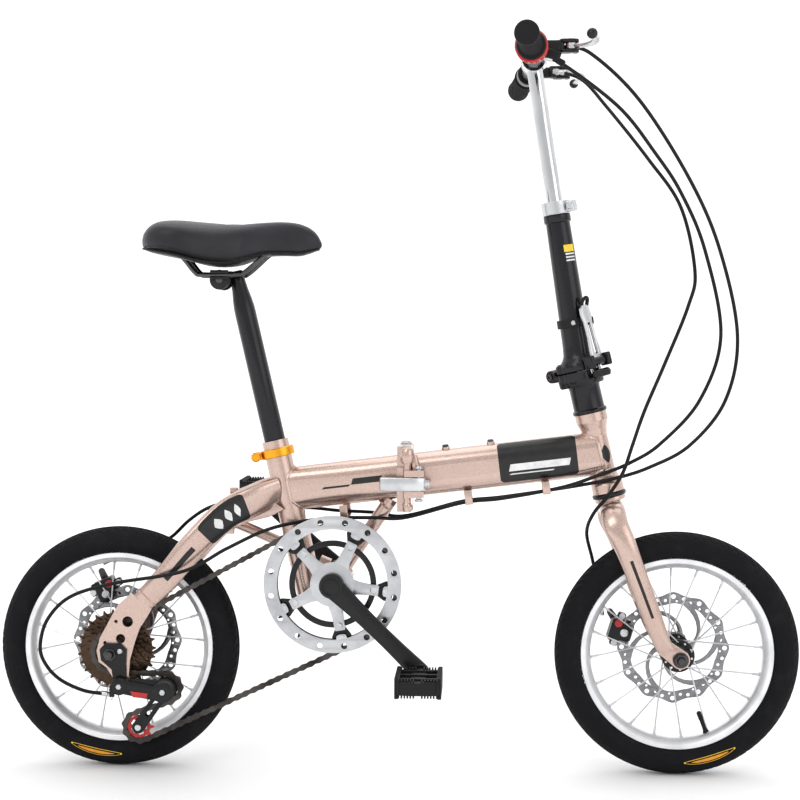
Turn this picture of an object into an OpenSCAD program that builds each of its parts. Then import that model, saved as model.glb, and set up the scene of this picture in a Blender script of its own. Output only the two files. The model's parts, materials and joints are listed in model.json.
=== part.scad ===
// Folding bicycle with 14 inch wheels, a hinged main tube and a hinged stem.
// +X is forward, +Y is the rider's left, +Z is up. The origin is on the ground,
// midway between the two wheels.

/* [Wheels] */
// Distance between the two axles
wheelbase = 792; // [780:1:810]
// Outside diameter of an inflated tyre
tyre_od = 343; // [336:1:350]
// Width of a tyre
tyre_w = 43.8; // [40:0.2:45]
// Outside diameter of a rim
rim_od = 271; // [268:1:273]
// Radial depth of a rim
rim_depth = 15; // [12:1:16]
// Width of a rim
rim_w = 28; // [24:1:30]
// Number of spokes in a wheel
spoke_count = 20; // [16:4:28]
// Diameter of a brake disc
disc_d = 160; // [140:20:160]

/* [Frame] */
// Height of the oval main tube
main_h = 62; // [54:1:64]
// Width of the oval main tube
main_w = 42; // [36:1:44]
// Rise of the main tube towards the front, in degrees
main_rise = 7; // [6:0.5:8]
// Lean of the seat tube, in degrees
seat_lean = 13.15; // [12:0.05:14]
// Lean of the head tube, in degrees
head_lean = 13.5; // [13:0.1:14]
// Lean of the folding stem, in degrees
stem_lean = 9.1; // [8.5:0.1:10]

/* [Controls] */
// Width over the two grips
bar_span = 504; // [480:2:540]
// Diameter of the handlebar
bar_d = 22.2; // [22:0.2:22.2]
// Length of a crank
crank_len = 170; // [165:1:172]
// Angle of the right crank below horizontal, in degrees
crank_dip = 43; // [40:1:46]

/* [Drive] */
// Teeth on the chainring
ring_teeth = 44; // [42:1:44]
// Teeth on the sprocket that the chain runs on
cog_teeth = 14; // [14:1:16]
// Teeth on a derailleur pulley
pulley_teeth = 10; // [10:1:11]
// Distance between two sprockets
cog_gap = 3.4; // [3.2:0.1:3.6]

/* [Hidden] */
$fn = 64;
round_fn = 32;
cable_fn = 8;
fit = 0.06;
weld_in = 4;

tyre_r = tyre_od / 2;
rim_r = rim_od / 2;
axle_x = wheelbase / 2;
axle_z = tyre_r;
axle_r = 5;
rear_axle_at = [-axle_x, axle_z];
front_axle_at = [axle_x, axle_z];
front_face = 50;
rear_face = 60;
front_disc_y = 38;
rear_disc_y = 45;
disc_t = 2;
flange_y = 24;
flange_r = 23;
spoke_hole_r = 19;
leg_y = 55;

tube_mid = [11.5, 0, 419];
tube_wall = 2;
hinge_x = 11.5;
hinge_y = 38;
hinge_gap = 0.3;
hinge_low = 370;
hinge_high = 462;
knuckle_h = 22;
knuckle_r = 11;
hinge_pin_r = 5;
flange_t = 10;
flange_w = 52;
latch_x = 33;
latch_y = -44;
latch_z = 411;

seat_top = [-174, 0, 468];
seat_tube_r = 19;
seat_tube_len = 224;
post_r = 15;
stub_r = 11;
post_in = 110;
post_out = 206;

head_mid = [285.7, 0, 454.3];
head_half = 57;
head_r = 16.5;
head_end_r = 22.5;
steerer_r = 14.3;
stem_z = 118;
pin_offset = 26;
stem_pin_r = 4;
stem_knuckle_r = 9;
stem_foot = [256.9, 0, 576.2];
stem_len = 232;
mast_r = 11;
mast_low = 160;
mast_top = 430;
bar_r = bar_d / 2;
bar_end_r = bar_r - 0.2;
bar_mid = [188.9, 0, 1000.8];
bar_bend = 60;
bar_sweep = 16;
bar_drop = 4;
grip_r = 15.5;
lever_y = 112;
lever_x = 236;
lever_z = 1003;

bb = [-86.2, 271.2];
bb_half = 34;
spindle_r = 8.5;
chain_y = -50;
chain_half = 3.6;
chain_depth = 4;
pitch = 12.7;
function pitch_r(teeth) = pitch / 2 / sin(180 / teeth);
ring_r = pitch_r(ring_teeth);
cog_r = pitch_r(cog_teeth);
pulley_r = pitch_r(pulley_teeth);
upper_at = [-321, 121];
lower_at = [-359.5, 66.3];
hanger_at = [-382, 128];
guard_r = 96;
spider_angles = [64.2, -7, -80, -153, 134];
pedal_mid_y = 150;
pedal_len = 92;
pedal_d = 62;
pedal_h = 28;
pedal_axle_r = 4.5;
crank_end = bb + crank_len * [cos(crank_dip), -sin(crank_dip)];
crank_far_end = 2 * bb - crank_end;

// Solids between two planes across the bicycle, drawn in the side view
module plate(y0, y1) {
    translate([0, y1, 0])
        rotate([90, 0, 0])
            linear_extrude(y1 - y0)
                children();
}
module disc(y0, y1, at, r) {
    plate(y0, y1)
        translate(at)
            circle(r = r);
}
module rod(p, q, r) {
    v = q - p;
    translate(p)
        rotate([0, acos(v.z / norm(v)), atan2(v.y, v.x)])
            cylinder(h = norm(v), r = r);
}
module tube(p, q, r, bore) {
    u = (q - p) / norm(q - p);
    difference() {
        rod(p, q, r);
        rod(p - u, q + u, bore);
    }
}
module bar_2d(a, b, w) {
    v = b - a;
    translate(a)
        rotate(atan2(v.y, v.x))
            translate([0, -w / 2])
                square([norm(v), w]);
    for (p = [a, b])
        translate(p)
            circle(r = w / 2);
}
module oval_2d(h, w) {
    square([h - w, w], center = true);
    for (s = [-1, 1])
        translate([s * (h - w) / 2, 0])
            circle(r = w / 2);
}
module head() {
    translate(head_mid)
        rotate([0, -head_lean, 0])
            children();
}
module stem() {
    translate(stem_foot)
        rotate([0, -stem_lean, 0])
            children();
}
module seat() {
    translate(seat_top)
        rotate([0, -seat_lean, 0])
            children();
}
// Stem hinge frame: x outwards past the pin, y along the pin, z up the steerer
module stem_hinge() {
    head()
        translate([-pin_offset, pin_offset, stem_z])
            rotate([0, 0, 135])
                children();
}

// Frame
module main_tube(from, to) {
    translate(tube_mid)
        rotate([0, 90 - main_rise, 0])
            translate([0, 0, from])
                linear_extrude(to - from)
                    difference() {
                        oval_2d(main_h, main_w);
                        oval_2d(main_h - 2 * tube_wall, main_w - 2 * tube_wall);
                    }
}
module seat_tube_solid(r) {
    seat()
        translate([0, 0, -seat_tube_len])
            cylinder(h = seat_tube_len, r = r);
}
module rear_main_tube() {
    color("#d8b4aa")
        difference() {
            main_tube(-176, -flange_t + weld_in);
            seat_tube_solid(seat_tube_r);
            translate([hinge_x - flange_t, -50, hinge_low])
                cube([50, 100, 100]);
        }
}
module seat_tube() {
    color("#d8b4aa")
        difference() {
            seat_tube_solid(seat_tube_r);
            seat()
                translate([0, 0, -seat_tube_len - 1])
                    cylinder(h = seat_tube_len + 2, r = post_r + fit);
        }
}
strut_low = [-92, 0, 302];
strut_high = [-22, 0, 372];
brace_low = [-98, 0, 291];
brace_high = [-234, 0, 350];
module bb_shell() {
    color("#d8b4aa") {
        difference() {
            union() {
                disc(-bb_half - 4, bb_half + 4, bb, 21);
                rod([bb.x, 0, bb.y], strut_low, 15);
            }
            disc(-50, 50, bb, spindle_r + fit);
        }
        rod(strut_low, strut_high, 14);
        difference() {
            rod(brace_low, brace_high, 11);
            seat_tube_solid(seat_tube_r);
        }
        rod([brace_high.x, -34, brace_high.z], [brace_high.x, 34, brace_high.z], 9);
    }
}
stay_route = [
    [-152, 18, 397], [-207, 32, 381], [-240, 42, 364], [-282, 54, 322],
    [-318, 60, 279], [-350, 63, 246]
];
stay_h = [44, 44, 43, 40, 36, 30];
stay_w = [20, 20, 19, 17, 14, 8];
module stay_end(i) {
    dir = stay_route[min(i + 1, 5)] - stay_route[max(i - 1, 0)];
    lean = atan2(dir.z, dir.x) + 90;
    reach = (stay_h[i] - stay_w[i]) / 2;
    for (s = [-1, 1])
        translate(stay_route[i] + s * reach * [cos(lean), 0, sin(lean)])
            sphere(d = stay_w[i], $fn = 20);
}
module stay() {
    for (i = [0:4])
        hull() {
            stay_end(i);
            stay_end(i + 1);
        }
}
module stay_right() {
    color("#d8b4aa")
        difference() {
            mirror([0, 1, 0]) stay();
            seat_tube_solid(seat_tube_r);
        }
}
module stay_left() {
    color("#d8b4aa")
        difference() {
            stay();
            seat_tube_solid(seat_tube_r);
        }
}
eyelet_high = [-388.5, 217];
eyelet_low = [-404, 187];
eyelet_r = 2.5;
dropout_t = 6;
module dropout_2d(hanger) {
    difference() {
        union() {
            polygon([
                [-368, 256], [-338, 236], [-355, 208], [-362, 188], [-369, 163],
                [-381, 153], [-402, 152], [-413, 160], [-416, 176], [-411, 194],
                [-397, 220], [-386, 240]
            ]);
            if (hanger)
                polygon([
                    [-369, 163], [-371, 138], [-373, 118], [-391, 118],
                    [-393, 138], [-402, 152]
                ]);
        }
        translate([-372, 217]) circle(r = 7.5);
        translate([-382, 193]) circle(r = 6.5);
        translate(rear_axle_at) circle(r = axle_r);
        for (p = [eyelet_high, eyelet_low])
            translate(p) circle(r = eyelet_r);
        if (hanger)
            translate(hanger_at) circle(r = 4);
    }
}
module dropout_right() {
    color("#d8b4aa")
        plate(-rear_face - dropout_t, -rear_face)
            dropout_2d(true);
}
module dropout_left() {
    color("#d8b4aa")
        plate(rear_face, rear_face + dropout_t)
            dropout_2d(false);
}

// Frame hinge: knuckles on the left, clamp on the right
module flange(x0, x1, y_far, z0, z1) {
    translate([x0, -flange_w / 2, z0])
        cube([x1 - x0, flange_w / 2 + y_far, z1 - z0]);
}
module hinge_knuckle(z0, z1, side, bore) {
    difference() {
        union() {
            translate([hinge_x, hinge_y, z0])
                cylinder(h = z1 - z0, r = knuckle_r);
            translate([side < 0 ? hinge_x - flange_t : hinge_x + hinge_gap, 24, z0])
                cube([flange_t - hinge_gap, hinge_y - 24, z1 - z0]);
        }
        translate([hinge_x, hinge_y, z0 - 1])
            cylinder(h = z1 - z0 + 2, r = bore);
    }
}
module hinge_rear() {
    low_top = hinge_low + knuckle_h;
    high_foot = hinge_high - knuckle_h;
    color("#d8b4aa") {
        flange(hinge_x - flange_t, hinge_x, 26, hinge_low, low_top);
        flange(hinge_x - flange_t, hinge_x, 26, high_foot, hinge_high);
        flange(hinge_x - flange_t, hinge_x, 25, low_top, high_foot);
        hinge_knuckle(hinge_low, low_top, -1, hinge_pin_r - 1);
        hinge_knuckle(high_foot, hinge_high, -1, hinge_pin_r - 1);
        translate([hinge_x, hinge_y, hinge_low - 2])
            cylinder(h = hinge_high - hinge_low + 4, r = hinge_pin_r);
        translate([hinge_x - flange_t, -34, latch_z - 22])
            cube([flange_t - 1, 10, 44]);
    }
}
module hinge_front() {
    low_top = hinge_low + knuckle_h + hinge_gap;
    high_foot = hinge_high - knuckle_h - hinge_gap;
    color("#d8b4aa") {
        flange(hinge_x + hinge_gap, hinge_x + flange_t, 25, hinge_low, hinge_high);
        hinge_knuckle(low_top, high_foot, 1, hinge_pin_r + fit);
        for (z = [latch_z - 19, latch_z + 10])
            difference() {
                translate([hinge_x + 1, latch_y - 5, z])
                    cube([latch_x - hinge_x + 6, -latch_y - 20, 9]);
                translate([latch_x, latch_y, z - 1])
                    cylinder(h = 11, r = 4 + fit);
            }
    }
}
module frame_latch_lever() {
    blade_z = latch_z - 9.7;
    color("#c9cbce") {
        translate([latch_x, latch_y, latch_z - 20])
            cylinder(h = 40, r = 4);
        translate([latch_x, latch_y, blade_z])
            cylinder(h = 19.4, r = 9);
        translate([-16, latch_y - 8, blade_z + 1])
            cube([latch_x + 16, 7, 17.4]);
        translate([-16, latch_y - 4.5, blade_z + 1])
            cylinder(h = 17.4, r = 5);
    }
}
boss_from_mid = [62, 126];
boss_hole_r = 2.5;
module on_tube_top(s) {
    translate(tube_mid)
        rotate([0, -main_rise, 0])
            translate([s, 0, main_h / 2])
                children();
}
module front_main_tube() {
    color("#d8b4aa")
        difference() {
            union() {
                main_tube(flange_t - weld_in, 276);
                for (s = boss_from_mid)
                    on_tube_top(s)
                        translate([0, 0, -5])
                            cylinder(h = 8, r = 6);
            }
            for (s = boss_from_mid)
                on_tube_top(s)
                    translate([0, 0, -8])
                        cylinder(h = 20, r = boss_hole_r);
            head() translate([0, 0, -head_half]) cylinder(h = 2 * head_half, r = head_r);
            translate([hinge_x - 50, -50, hinge_low - 5])
                cube([50 + flange_t, 100, 120]);
        }
}
module head_tube() {
    color("#d8b4aa")
        head()
            rotate_extrude()
                polygon([
                    [15.5, -head_half], [head_end_r, -head_half], [head_end_r, -45],
                    [head_r + 2, -34], [head_r, -24], [head_r, 24], [head_r + 2, 34],
                    [head_end_r, 45], [head_end_r, head_half], [15.5, head_half]
                ]);
}

// Seat
module seat_collar() {
    color("#c98a3c")
        seat()
            difference() {
                union() {
                    translate([0, 0, -26]) cylinder(h = 17, r = 24);
                    translate([-36, -9, -24]) cube([18, 18, 13]);
                }
                translate([0, 0, -30]) cylinder(h = 25, r = seat_tube_r);
                translate([-40, -1, -30]) cube([22, 2, 25]);
            }
}
module seat_post() {
    color("#1b1c20")
        seat() {
            difference() {
                translate([0, 0, -post_in]) cylinder(h = post_in + post_out, r = post_r);
                translate([0, 0, -post_in - 1])
                    cylinder(h = post_in + post_out - 9, r = post_r - tube_wall);
            }
            translate([0, 0, post_out]) cylinder(h = 6, r1 = post_r, r2 = stub_r);
            translate([0, 0, post_out + 6]) cylinder(h = 34, r = stub_r);
        }
}
rail_y = 22;
clamp_at = [-250, 0, 695];
module saddle_rails() {
    color("#3a3c40") {
        for (s = [-1, 1]) {
            rod([-310, s * rail_y, 737], [-284, s * rail_y, 702], 3.5);
            rod([-284, s * rail_y, 702], [-216, s * rail_y, 702], 3.5);
            rod([-216, s * rail_y, 702], [-180, s * rail_y, 737], 3.5);
            for (p = [[-284, 702], [-216, 702]])
                translate([p.x, s * rail_y, p.y]) sphere(r = 3.5, $fn = 24);
        }
        rod(clamp_at - [0, 30, 0], clamp_at + [0, 30, 0], 11);
        difference() {
            hull() {
                rod(clamp_at - [0, 12, 0], clamp_at + [0, 12, 0], 9, $fn = round_fn);
                seat() translate([0, 0, 218]) cylinder(h = 20, r = 16, $fn = round_fn);
            }
            seat() translate([0, 0, 200]) cylinder(h = 60, r = stub_r);
        }
    }
}
module saddle() {
    color("#202124")
        hull() {
            for (s = [-1, 1]) {
                translate([-330, s * 62, 752]) scale([1, 1, 0.8]) sphere(r = 26, $fn = 24);
                translate([-280, s * 66, 746]) scale([1, 1, 0.8]) sphere(r = 24, $fn = 24);
                translate([-210, s * 30, 746]) scale([1, 1, 1.2]) sphere(r = 20, $fn = 24);
                translate([-132, s * 8, 752]) sphere(r = 23, $fn = 24);
            }
        }
}

// Wheels
module wheel_ring(at) {
    translate([at.x, 0, at.y])
        rotate([90, 0, 0])
            rotate_extrude($fn = 96)
                children();
}
module tyre(at) {
    half = tyre_w / 2;
    wheel_ring(at)
        difference() {
            translate([tyre_r - half, 0]) circle(r = half);
            translate([tyre_r - half, 0]) circle(r = half - 4);
            translate([0, -half]) square([rim_r, 2 * half]);
        }
}
module rim(at) {
    half = rim_w / 2;
    wheel_ring(at)
        polygon([
            [rim_r, -half], [rim_r, half], [rim_r - 8, half], [rim_r - rim_depth, 6],
            [rim_r - rim_depth, -6], [rim_r - 8, -half]
        ]);
}
module spokes(at) {
    step = 360 / spoke_count;
    for (i = [0:spoke_count - 1]) {
        side = i % 2 == 0 ? 1 : -1;
        lace = side * 38;
        a = step * i + 4;
        out = rim_r - rim_depth + 1;
        h = spoke_hole_r * [cos(a + lace), sin(a + lace)];
        r = out * [cos(a), sin(a)];
        rod(
            [at.x + h.x, side * flange_y, at.y + h.y],
            [at.x + r.x, side * 3, at.y + r.y], 1, $fn = 16
        );
    }
}
module hub(at, face, disc_y) {
    difference() {
        union() {
            disc(-face + 1, disc_y - 10, at, 13);
            disc(disc_y - 10, disc_y - 1, at, 22);
            for (s = [-1, 1])
                disc(s * flange_y - 1.5, s * flange_y + 1.5, at, flange_r);
            disc(disc_y - 1, face - 1, at, 11);
        }
        disc(-face - 1, face + 1, at, axle_r + fit);
    }
}
module rotor(at, y) {
    plate(y - disc_t / 2, y + disc_t / 2)
        translate(at)
            difference() {
                union() {
                    difference() {
                        circle(d = disc_d);
                        circle(r = 64);
                    }
                    for (i = [0:5])
                        rotate(60 * i)
                            translate([0, -4])
                                square([66, 8]);
                    circle(r = 24);
                }
                circle(r = 11);
                for (i = [0:23])
                    rotate(15 * i)
                        translate([72, 0]) circle(r = 3.2);
            }
}
module axle(at, face, nut) {
    disc(-face - nut - 15, face + nut + 15, at, axle_r);
    for (s = [-1, 1])
        translate([at.x, s * (face + nut + 4), at.y])
            rotate([90, 0, 0])
                cylinder(h = 8, r = 9.5, center = true, $fn = 6);
}
module front_tyre() { color("#1c1c1e") tyre(front_axle_at); }
module rear_tyre() { color("#1c1c1e") tyre(rear_axle_at); }
module front_rim() { color("#8d8f92") rim(front_axle_at); }
module rear_rim() { color("#8d8f92") rim(rear_axle_at); }
module front_spokes() { color("#c8cacc") spokes(front_axle_at); }
module rear_spokes() { color("#c8cacc") spokes(rear_axle_at); }
module front_hub() { color("#17181a") hub(front_axle_at, front_face, front_disc_y); }
module rear_hub() { color("#17181a") hub(rear_axle_at, rear_face - 6, rear_disc_y); }
module front_rotor() { color("#a9abae") rotor(front_axle_at, front_disc_y); }
module rear_rotor() { color("#a9abae") rotor(rear_axle_at, rear_disc_y); }
module front_axle() { color("#b9bbbe") axle(front_axle_at, front_face, dropout_t); }
module rear_axle() { color("#b9bbbe") axle(rear_axle_at, rear_face, dropout_t); }

// Disc brakes, drawn with +y of the side view pointing outwards from the axle
module at_disc(at, a) {
    translate(at)
        rotate(a - 90)
            children();
}
module caliper(at, y, a) {
    plate(y + 3, y + 19) at_disc(at, a) translate([-17, 62]) square([34, 32]);
    plate(y - 10, y - 3) at_disc(at, a) translate([-13, 64]) square([26, 30]);
    plate(y - 10, y + 19) at_disc(at, a) translate([-17, 84]) square([34, 10]);
}
arm_reach = 30;
module caliper_arm(at, y, a, swing) {
    plate(y + 19.4, y + 23.4)
        at_disc(at, a)
            translate([0, 76])
                rotate(swing)
                    bar_2d([0, 0], [0, arm_reach], 12);
}
front_caliper_angle = 163;
rear_caliper_angle = 114;
module front_caliper() {
    color("#2a2b2e") {
        caliper(front_axle_at, front_disc_y, front_caliper_angle);
        plate(front_disc_y + 8, front_disc_y + 16)
            polygon([[318, 218], [330, 170], [362, 214], [350, 244]]);
    }
}
module rear_caliper() {
    color("#2a2b2e") {
        caliper(rear_axle_at, rear_disc_y, rear_caliper_angle);
        plate(rear_face - 6, rear_face)
            polygon([[-440, 228], [-408, 262], [-362, 244], [-392, 206]]);
    }
}
module front_caliper_arm() {
    color("#9a9c9f")
        caliper_arm(front_axle_at, front_disc_y, front_caliper_angle, -40);
}
module rear_caliper_arm() {
    color("#9a9c9f")
        caliper_arm(rear_axle_at, rear_disc_y, rear_caliper_angle, 0);
}

// Fork
leg_top = [304, 380];
leg_foot = [374, 186];
module fork_leg(s) {
    v = leg_foot - leg_top;
    translate([leg_top.x, s * leg_y, leg_top.y])
        rotate([0, atan2(v.x, v.y), 0])
            linear_extrude(norm(v))
                oval_2d(28, 17);
    y0 = s > 0 ? front_face : -front_face - dropout_t;
    plate(y0, y0 + dropout_t)
        difference() {
            union() {
                bar_2d(leg_foot - [4, -14], front_axle_at, 22);
                translate(front_axle_at) circle(r = 13);
            }
            translate(front_axle_at) circle(r = axle_r);
        }
}
module fork_leg_right() { color("#d8b4aa") fork_leg(-1); }
module fork_leg_left() { color("#d8b4aa") fork_leg(1); }
module fork_crown() {
    color("#d8b4aa") {
        head()
            difference() {
                translate([0, 0, -70]) cylinder(h = 124, r = steerer_r);
                translate([0, 0, -60]) cylinder(h = 115, r = steerer_r - tube_wall);
            }
        hull() {
            head() translate([0, 0, -70]) cylinder(h = 6, r = 21, $fn = round_fn);
            translate([leg_top.x + 1, -leg_y, leg_top.y - 6]) sphere(r = 11, $fn = 24);
            translate([leg_top.x + 1, leg_y, leg_top.y - 6]) sphere(r = 11, $fn = 24);
        }
    }
}

// Stem
module stem_base() {
    block = [56, 48, 15];
    color("#17181a") {
        head() {
            translate([0, 0, 58]) cylinder(h = 5, r = 24);
            translate([0, 0, 54]) cylinder(h = 4, r = 14);
            translate([0, 0, 63]) cylinder(h = 42, r = 22);
            difference() {
                translate([0, 0, -63.5]) cylinder(h = 5.5, r = 24);
                translate([0, 0, -64]) cylinder(h = 7, r = steerer_r);
            }
        }
        stem_hinge() {
            translate([-66, -24, -0.2 - block.z]) cube(block);
            for (s = [-1, 1])
                translate([0, s * 16.6, 0]) {
                    rotate([90, 0, 0])
                        cylinder(h = 14.8, r = stem_knuckle_r, center = true);
                    translate([-12, -7.4, -9.2]) cube([12, 14.8, 9]);
                }
            rotate([90, 0, 0])
                cylinder(h = 54, r = stem_pin_r, center = true);
        }
    }
}
latch_pin = [-72, 0, 9];
module stem_tube() {
    color("#17181a") {
        stem()
            difference() {
                translate([0, 0, -2]) cylinder(h = stem_len - 16, r1 = 20, r2 = 16.8);
                translate([0, 0, 8]) cylinder(h = stem_len, r = mast_r + fit);
            }
        stem()
            translate([0, 0, 54])
                difference() {
                    cylinder(h = 13, r = 22.5);
                    translate([0, 0, -1]) cylinder(h = 15, r = 18);
                }
        stem_hinge() {
            translate([-66, -24, 0.2]) cube([56, 48, 12]);
            difference() {
                union() {
                    rotate([90, 0, 0])
                        cylinder(h = 17.6, r = stem_knuckle_r, center = true);
                    translate([-12, -8.8, 0.2]) cube([12, 17.6, 9]);
                }
                rotate([90, 0, 0])
                    cylinder(h = 60, r = stem_pin_r + fit, center = true);
            }
            for (s = [-1, 1])
                translate([-80, s * 17 - 5, 0.2]) cube([15, 10, 18]);
        }
    }
}
module stem_collar() {
    color("#c4c6c9")
        stem() {
            difference() {
                translate([0, 0, stem_len - 18]) cylinder(h = 18, r = 19.5);
                translate([0, 0, stem_len - 20]) cylinder(h = 22, r = mast_r + fit);
            }
            translate([18, 0, stem_len - 9])
                rotate([90, 0, 0])
                    cylinder(h = 26, r = 6, center = true);
        }
}
module stem_latch_lever() {
    color("#c4c6c9")
        stem_hinge()
            translate(latch_pin) {
                rotate([90, 0, 0])
                    cylinder(h = 23, r = 6, center = true);
                rotate([0, 2, 0])
                    for (s = [-1, 1])
                        translate([-4, s * 8 - 2.5, 0]) cube([8, 5, 62]);
                rotate([0, 2, 0])
                    translate([-4, -10.5, 60]) cube([8, 21, 18]);
            }
}
module mast_tube() {
    color("#d9dbde")
        difference() {
            union() {
                stem()
                    translate([0, 0, mast_low]) cylinder(h = mast_top - mast_low, r = mast_r);
                rod(bar_mid - [0, 22, 0], bar_mid + [0, 22, 0], 16);
            }
            rod(bar_mid - [0, 30, 0], bar_mid + [0, 30, 0], bar_r);
        }
}
function bar_point(y) =
    let(t = (abs(y) - bar_bend) / (bar_span / 2 - bar_bend))
    bar_mid + [-bar_sweep * t, y, -bar_drop * t];
module handlebar() {
    half = bar_bend - 1;
    end = bar_span / 2 - 2;
    color("#17181a") {
        rod(bar_mid - [0, half, 0], bar_mid + [0, half, 0], bar_r);
        for (s = [-1, 1])
            rod(bar_point(s * (half - 1)), bar_point(s * end), bar_end_r);
    }
}
module grips() {
    color("#1c1c1e")
        for (s = [-1, 1])
            tube(bar_point(s * (s < 0 ? 150 : 132)), bar_point(s * bar_span / 2), grip_r, bar_end_r);
}
module brake_perches() {
    color("#222326")
        for (s = [-1, 1]) {
            tube(bar_point(s * 102), bar_point(s * 120), 15.5, bar_end_r);
            translate([lever_x - 40, s * lever_y - 6, lever_z - 9.3]) cube([30, 12, 18.6]);
            for (z = [lever_z - 9.3, lever_z + 4.3])
                difference() {
                    translate([lever_x - 12, s * lever_y - 8, z]) cube([20, 16, 5]);
                    translate([lever_x, s * lever_y, z - 1]) cylinder(h = 7, r = 3 + fit);
                }
        }
}
module brake_lever(s) {
    blade = [[lever_x, lever_y], [lever_x + 26, 136], [lever_x + 22, 216]];
    translate([0, 0, lever_z - 9]) {
        translate([lever_x, s * lever_y, 0]) cylinder(h = 18, r = 3);
        translate([0, 0, 5.2])
            linear_extrude(7.6)
                for (i = [0, 1])
                    bar_2d(
                        [blade[i].x, s * blade[i].y],
                        [blade[i + 1].x, s * blade[i + 1].y], 12
                    );
    }
}
module brake_lever_right() { color("#c4c6c9") brake_lever(-1); }
module brake_lever_left() { color("#c4c6c9") brake_lever(1); }
module shifter_ring() {
    color("#c22a2a")
        tube(bar_point(-124), bar_point(-146), 22, bar_end_r + fit);
}

// Drive
module freewheel() {
    color("#4a3a2e")
        difference() {
            union() {
                disc(-53.6, -28, rear_axle_at, 20);
                disc(-51, -49, rear_axle_at, cog_r - chain_depth - 0.6);
                for (i = [1:6])
                    disc(
                        chain_y + 1.4 + cog_gap * i - 0.9, chain_y + 1.4 + cog_gap * i + 0.9,
                        rear_axle_at, cog_r + 4.9 * i - 2
                    );
            }
            disc(-60, -20, rear_axle_at, 13 + fit);
        }
}
module chainring() {
    color("#2a2b2e")
        plate(chain_y - 1.5, chain_y + 1.5)
            translate(bb) {
                difference() {
                    circle(r = ring_r - chain_depth - 0.4);
                    circle(r = 53);
                }
                for (a = spider_angles)
                    rotate(a)
                        translate([14, -6]) square([40, 12]);
            }
}
module chainguard() {
    color("#c4c6c9")
        plate(chain_y - 9, chain_y - 6)
            translate(bb)
                difference() {
                    circle(r = guard_r);
                    circle(r = 77);
                    for (i = [0:15])
                        rotate(22.5 * i + 11)
                            translate([87.5, 0]) circle(r = 4);
                }
    color("#c4c6c9")
        plate(chain_y - 6, chain_y - 1.5)
            translate(bb)
                for (a = spider_angles)
                    rotate(a)
                        translate([60, -7]) square([23, 14]);
}
module crank(s, at, foot) {
    inner = s > 0 ? 64 : -76;
    outer = s > 0 ? 78 : -92;
    difference() {
        union() {
            hull() {
                disc(inner, inner + 12, at, 17, $fn = round_fn);
                disc(outer, outer + 14, foot, 13, $fn = round_fn);
            }
            disc(s > 0 ? 50 : -78, s > 0 ? 78 : -50, at, 17.5);
        }
        disc(-100, 100, foot, pedal_axle_r);
    }
    disc(s > 0 ? outer : -196, s > 0 ? 196 : outer + 14, foot, pedal_axle_r);
}
module crank_right() {
    color("#1b1c20") {
        crank(-1, bb, crank_end);
        disc(-60, 50, bb, spindle_r);
    }
    color("#c4c6c9")
        plate(-60, -56)
            translate(bb)
                for (a = spider_angles)
                    rotate(a)
                        translate([12, -6]) square([56, 12]);
}
module crank_left() {
    color("#1b1c20")
        crank(1, bb, crank_far_end);
}
module pedal(s, at) {
    y0 = s * pedal_mid_y - pedal_len / 2;
    difference() {
        plate(y0, y0 + pedal_len)
            translate(at) {
                square([pedal_d, pedal_h], center = true);
            }
        for (k = [-1, 1])
            for (j = [-1, 0, 1])
                translate([at.x + k * 18, s * pedal_mid_y + j * 27, at.y])
                    cube([17, 19, pedal_h + 2], center = true);
        disc(y0 - 1, y0 + pedal_len + 1, at, pedal_axle_r + fit);
    }
}
module pedal_right() { color("#1c1c1e") pedal(-1, crank_end); }
module pedal_left() { color("#1c1c1e") pedal(1, crank_far_end); }

// Chain loop: circles in order along the chain, with the sign of each turn
chain_circles = [
    [bb, ring_r], [rear_axle_at, cog_r], [upper_at, -pulley_r], [lower_at, pulley_r]
];
function heading(a, b) =
    let(v = b[0] - a[0])
    atan2(v.y, v.x) - asin((b[1] - a[1]) / norm(v));
function wrap(i) = chain_circles[(i + 4) % 4];
function turn(from, to, s) = s > 0 ? (to - from + 720) % 360 : -((from - to + 720) % 360);
function chain_side(off) = [
    for (i = [0:3])
        let(
            from = heading(wrap(i - 1), wrap(i)),
            to = heading(wrap(i), wrap(i + 1)),
            span = turn(from, to, wrap(i)[1]),
            steps = max(6, ceil(abs(span) / 10))
        )
        for (k = [0:steps])
            let(t = from + span * k / steps)
            wrap(i)[0] + (wrap(i)[1] + off) * [sin(t), -cos(t)]
];
module chain() {
    color("#3a2f28")
        plate(chain_y - chain_half, chain_y + chain_half)
            difference() {
                polygon(chain_side(chain_depth));
                polygon(chain_side(-chain_depth));
            }
}

// Derailleur
cage_y = [-56.6, -45.4];
module derailleur() {
    color("#1b1c20") {
        disc(-76, -66, hanger_at, 10);
        disc(-66, -62, hanger_at, 4);
        plate(-76, -68) bar_2d(hanger_at, upper_at, 18);
        disc(-76, -60, upper_at, 15);
        disc(-60, cage_y[0], upper_at, 8);
        for (y = cage_y)
            plate(y - 1, y + 1)
                bar_2d(upper_at, lower_at, 15);
        for (p = [upper_at, lower_at])
            disc(cage_y[0], cage_y[1], p, 2.5);
    }
}
module pulley(at) {
    difference() {
        union() {
            disc(chain_y - 1.5, chain_y + 1.5, at, pulley_r - chain_depth - 0.3);
            disc(chain_y - 5, chain_y + 3, at, 6);
        }
        disc(chain_y - 6, chain_y + 6, at, 2.5 + fit);
    }
}
module upper_pulley() { color("#b8302c") pulley(upper_at); }
module lower_pulley() { color("#b8302c") pulley(lower_at); }

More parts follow.
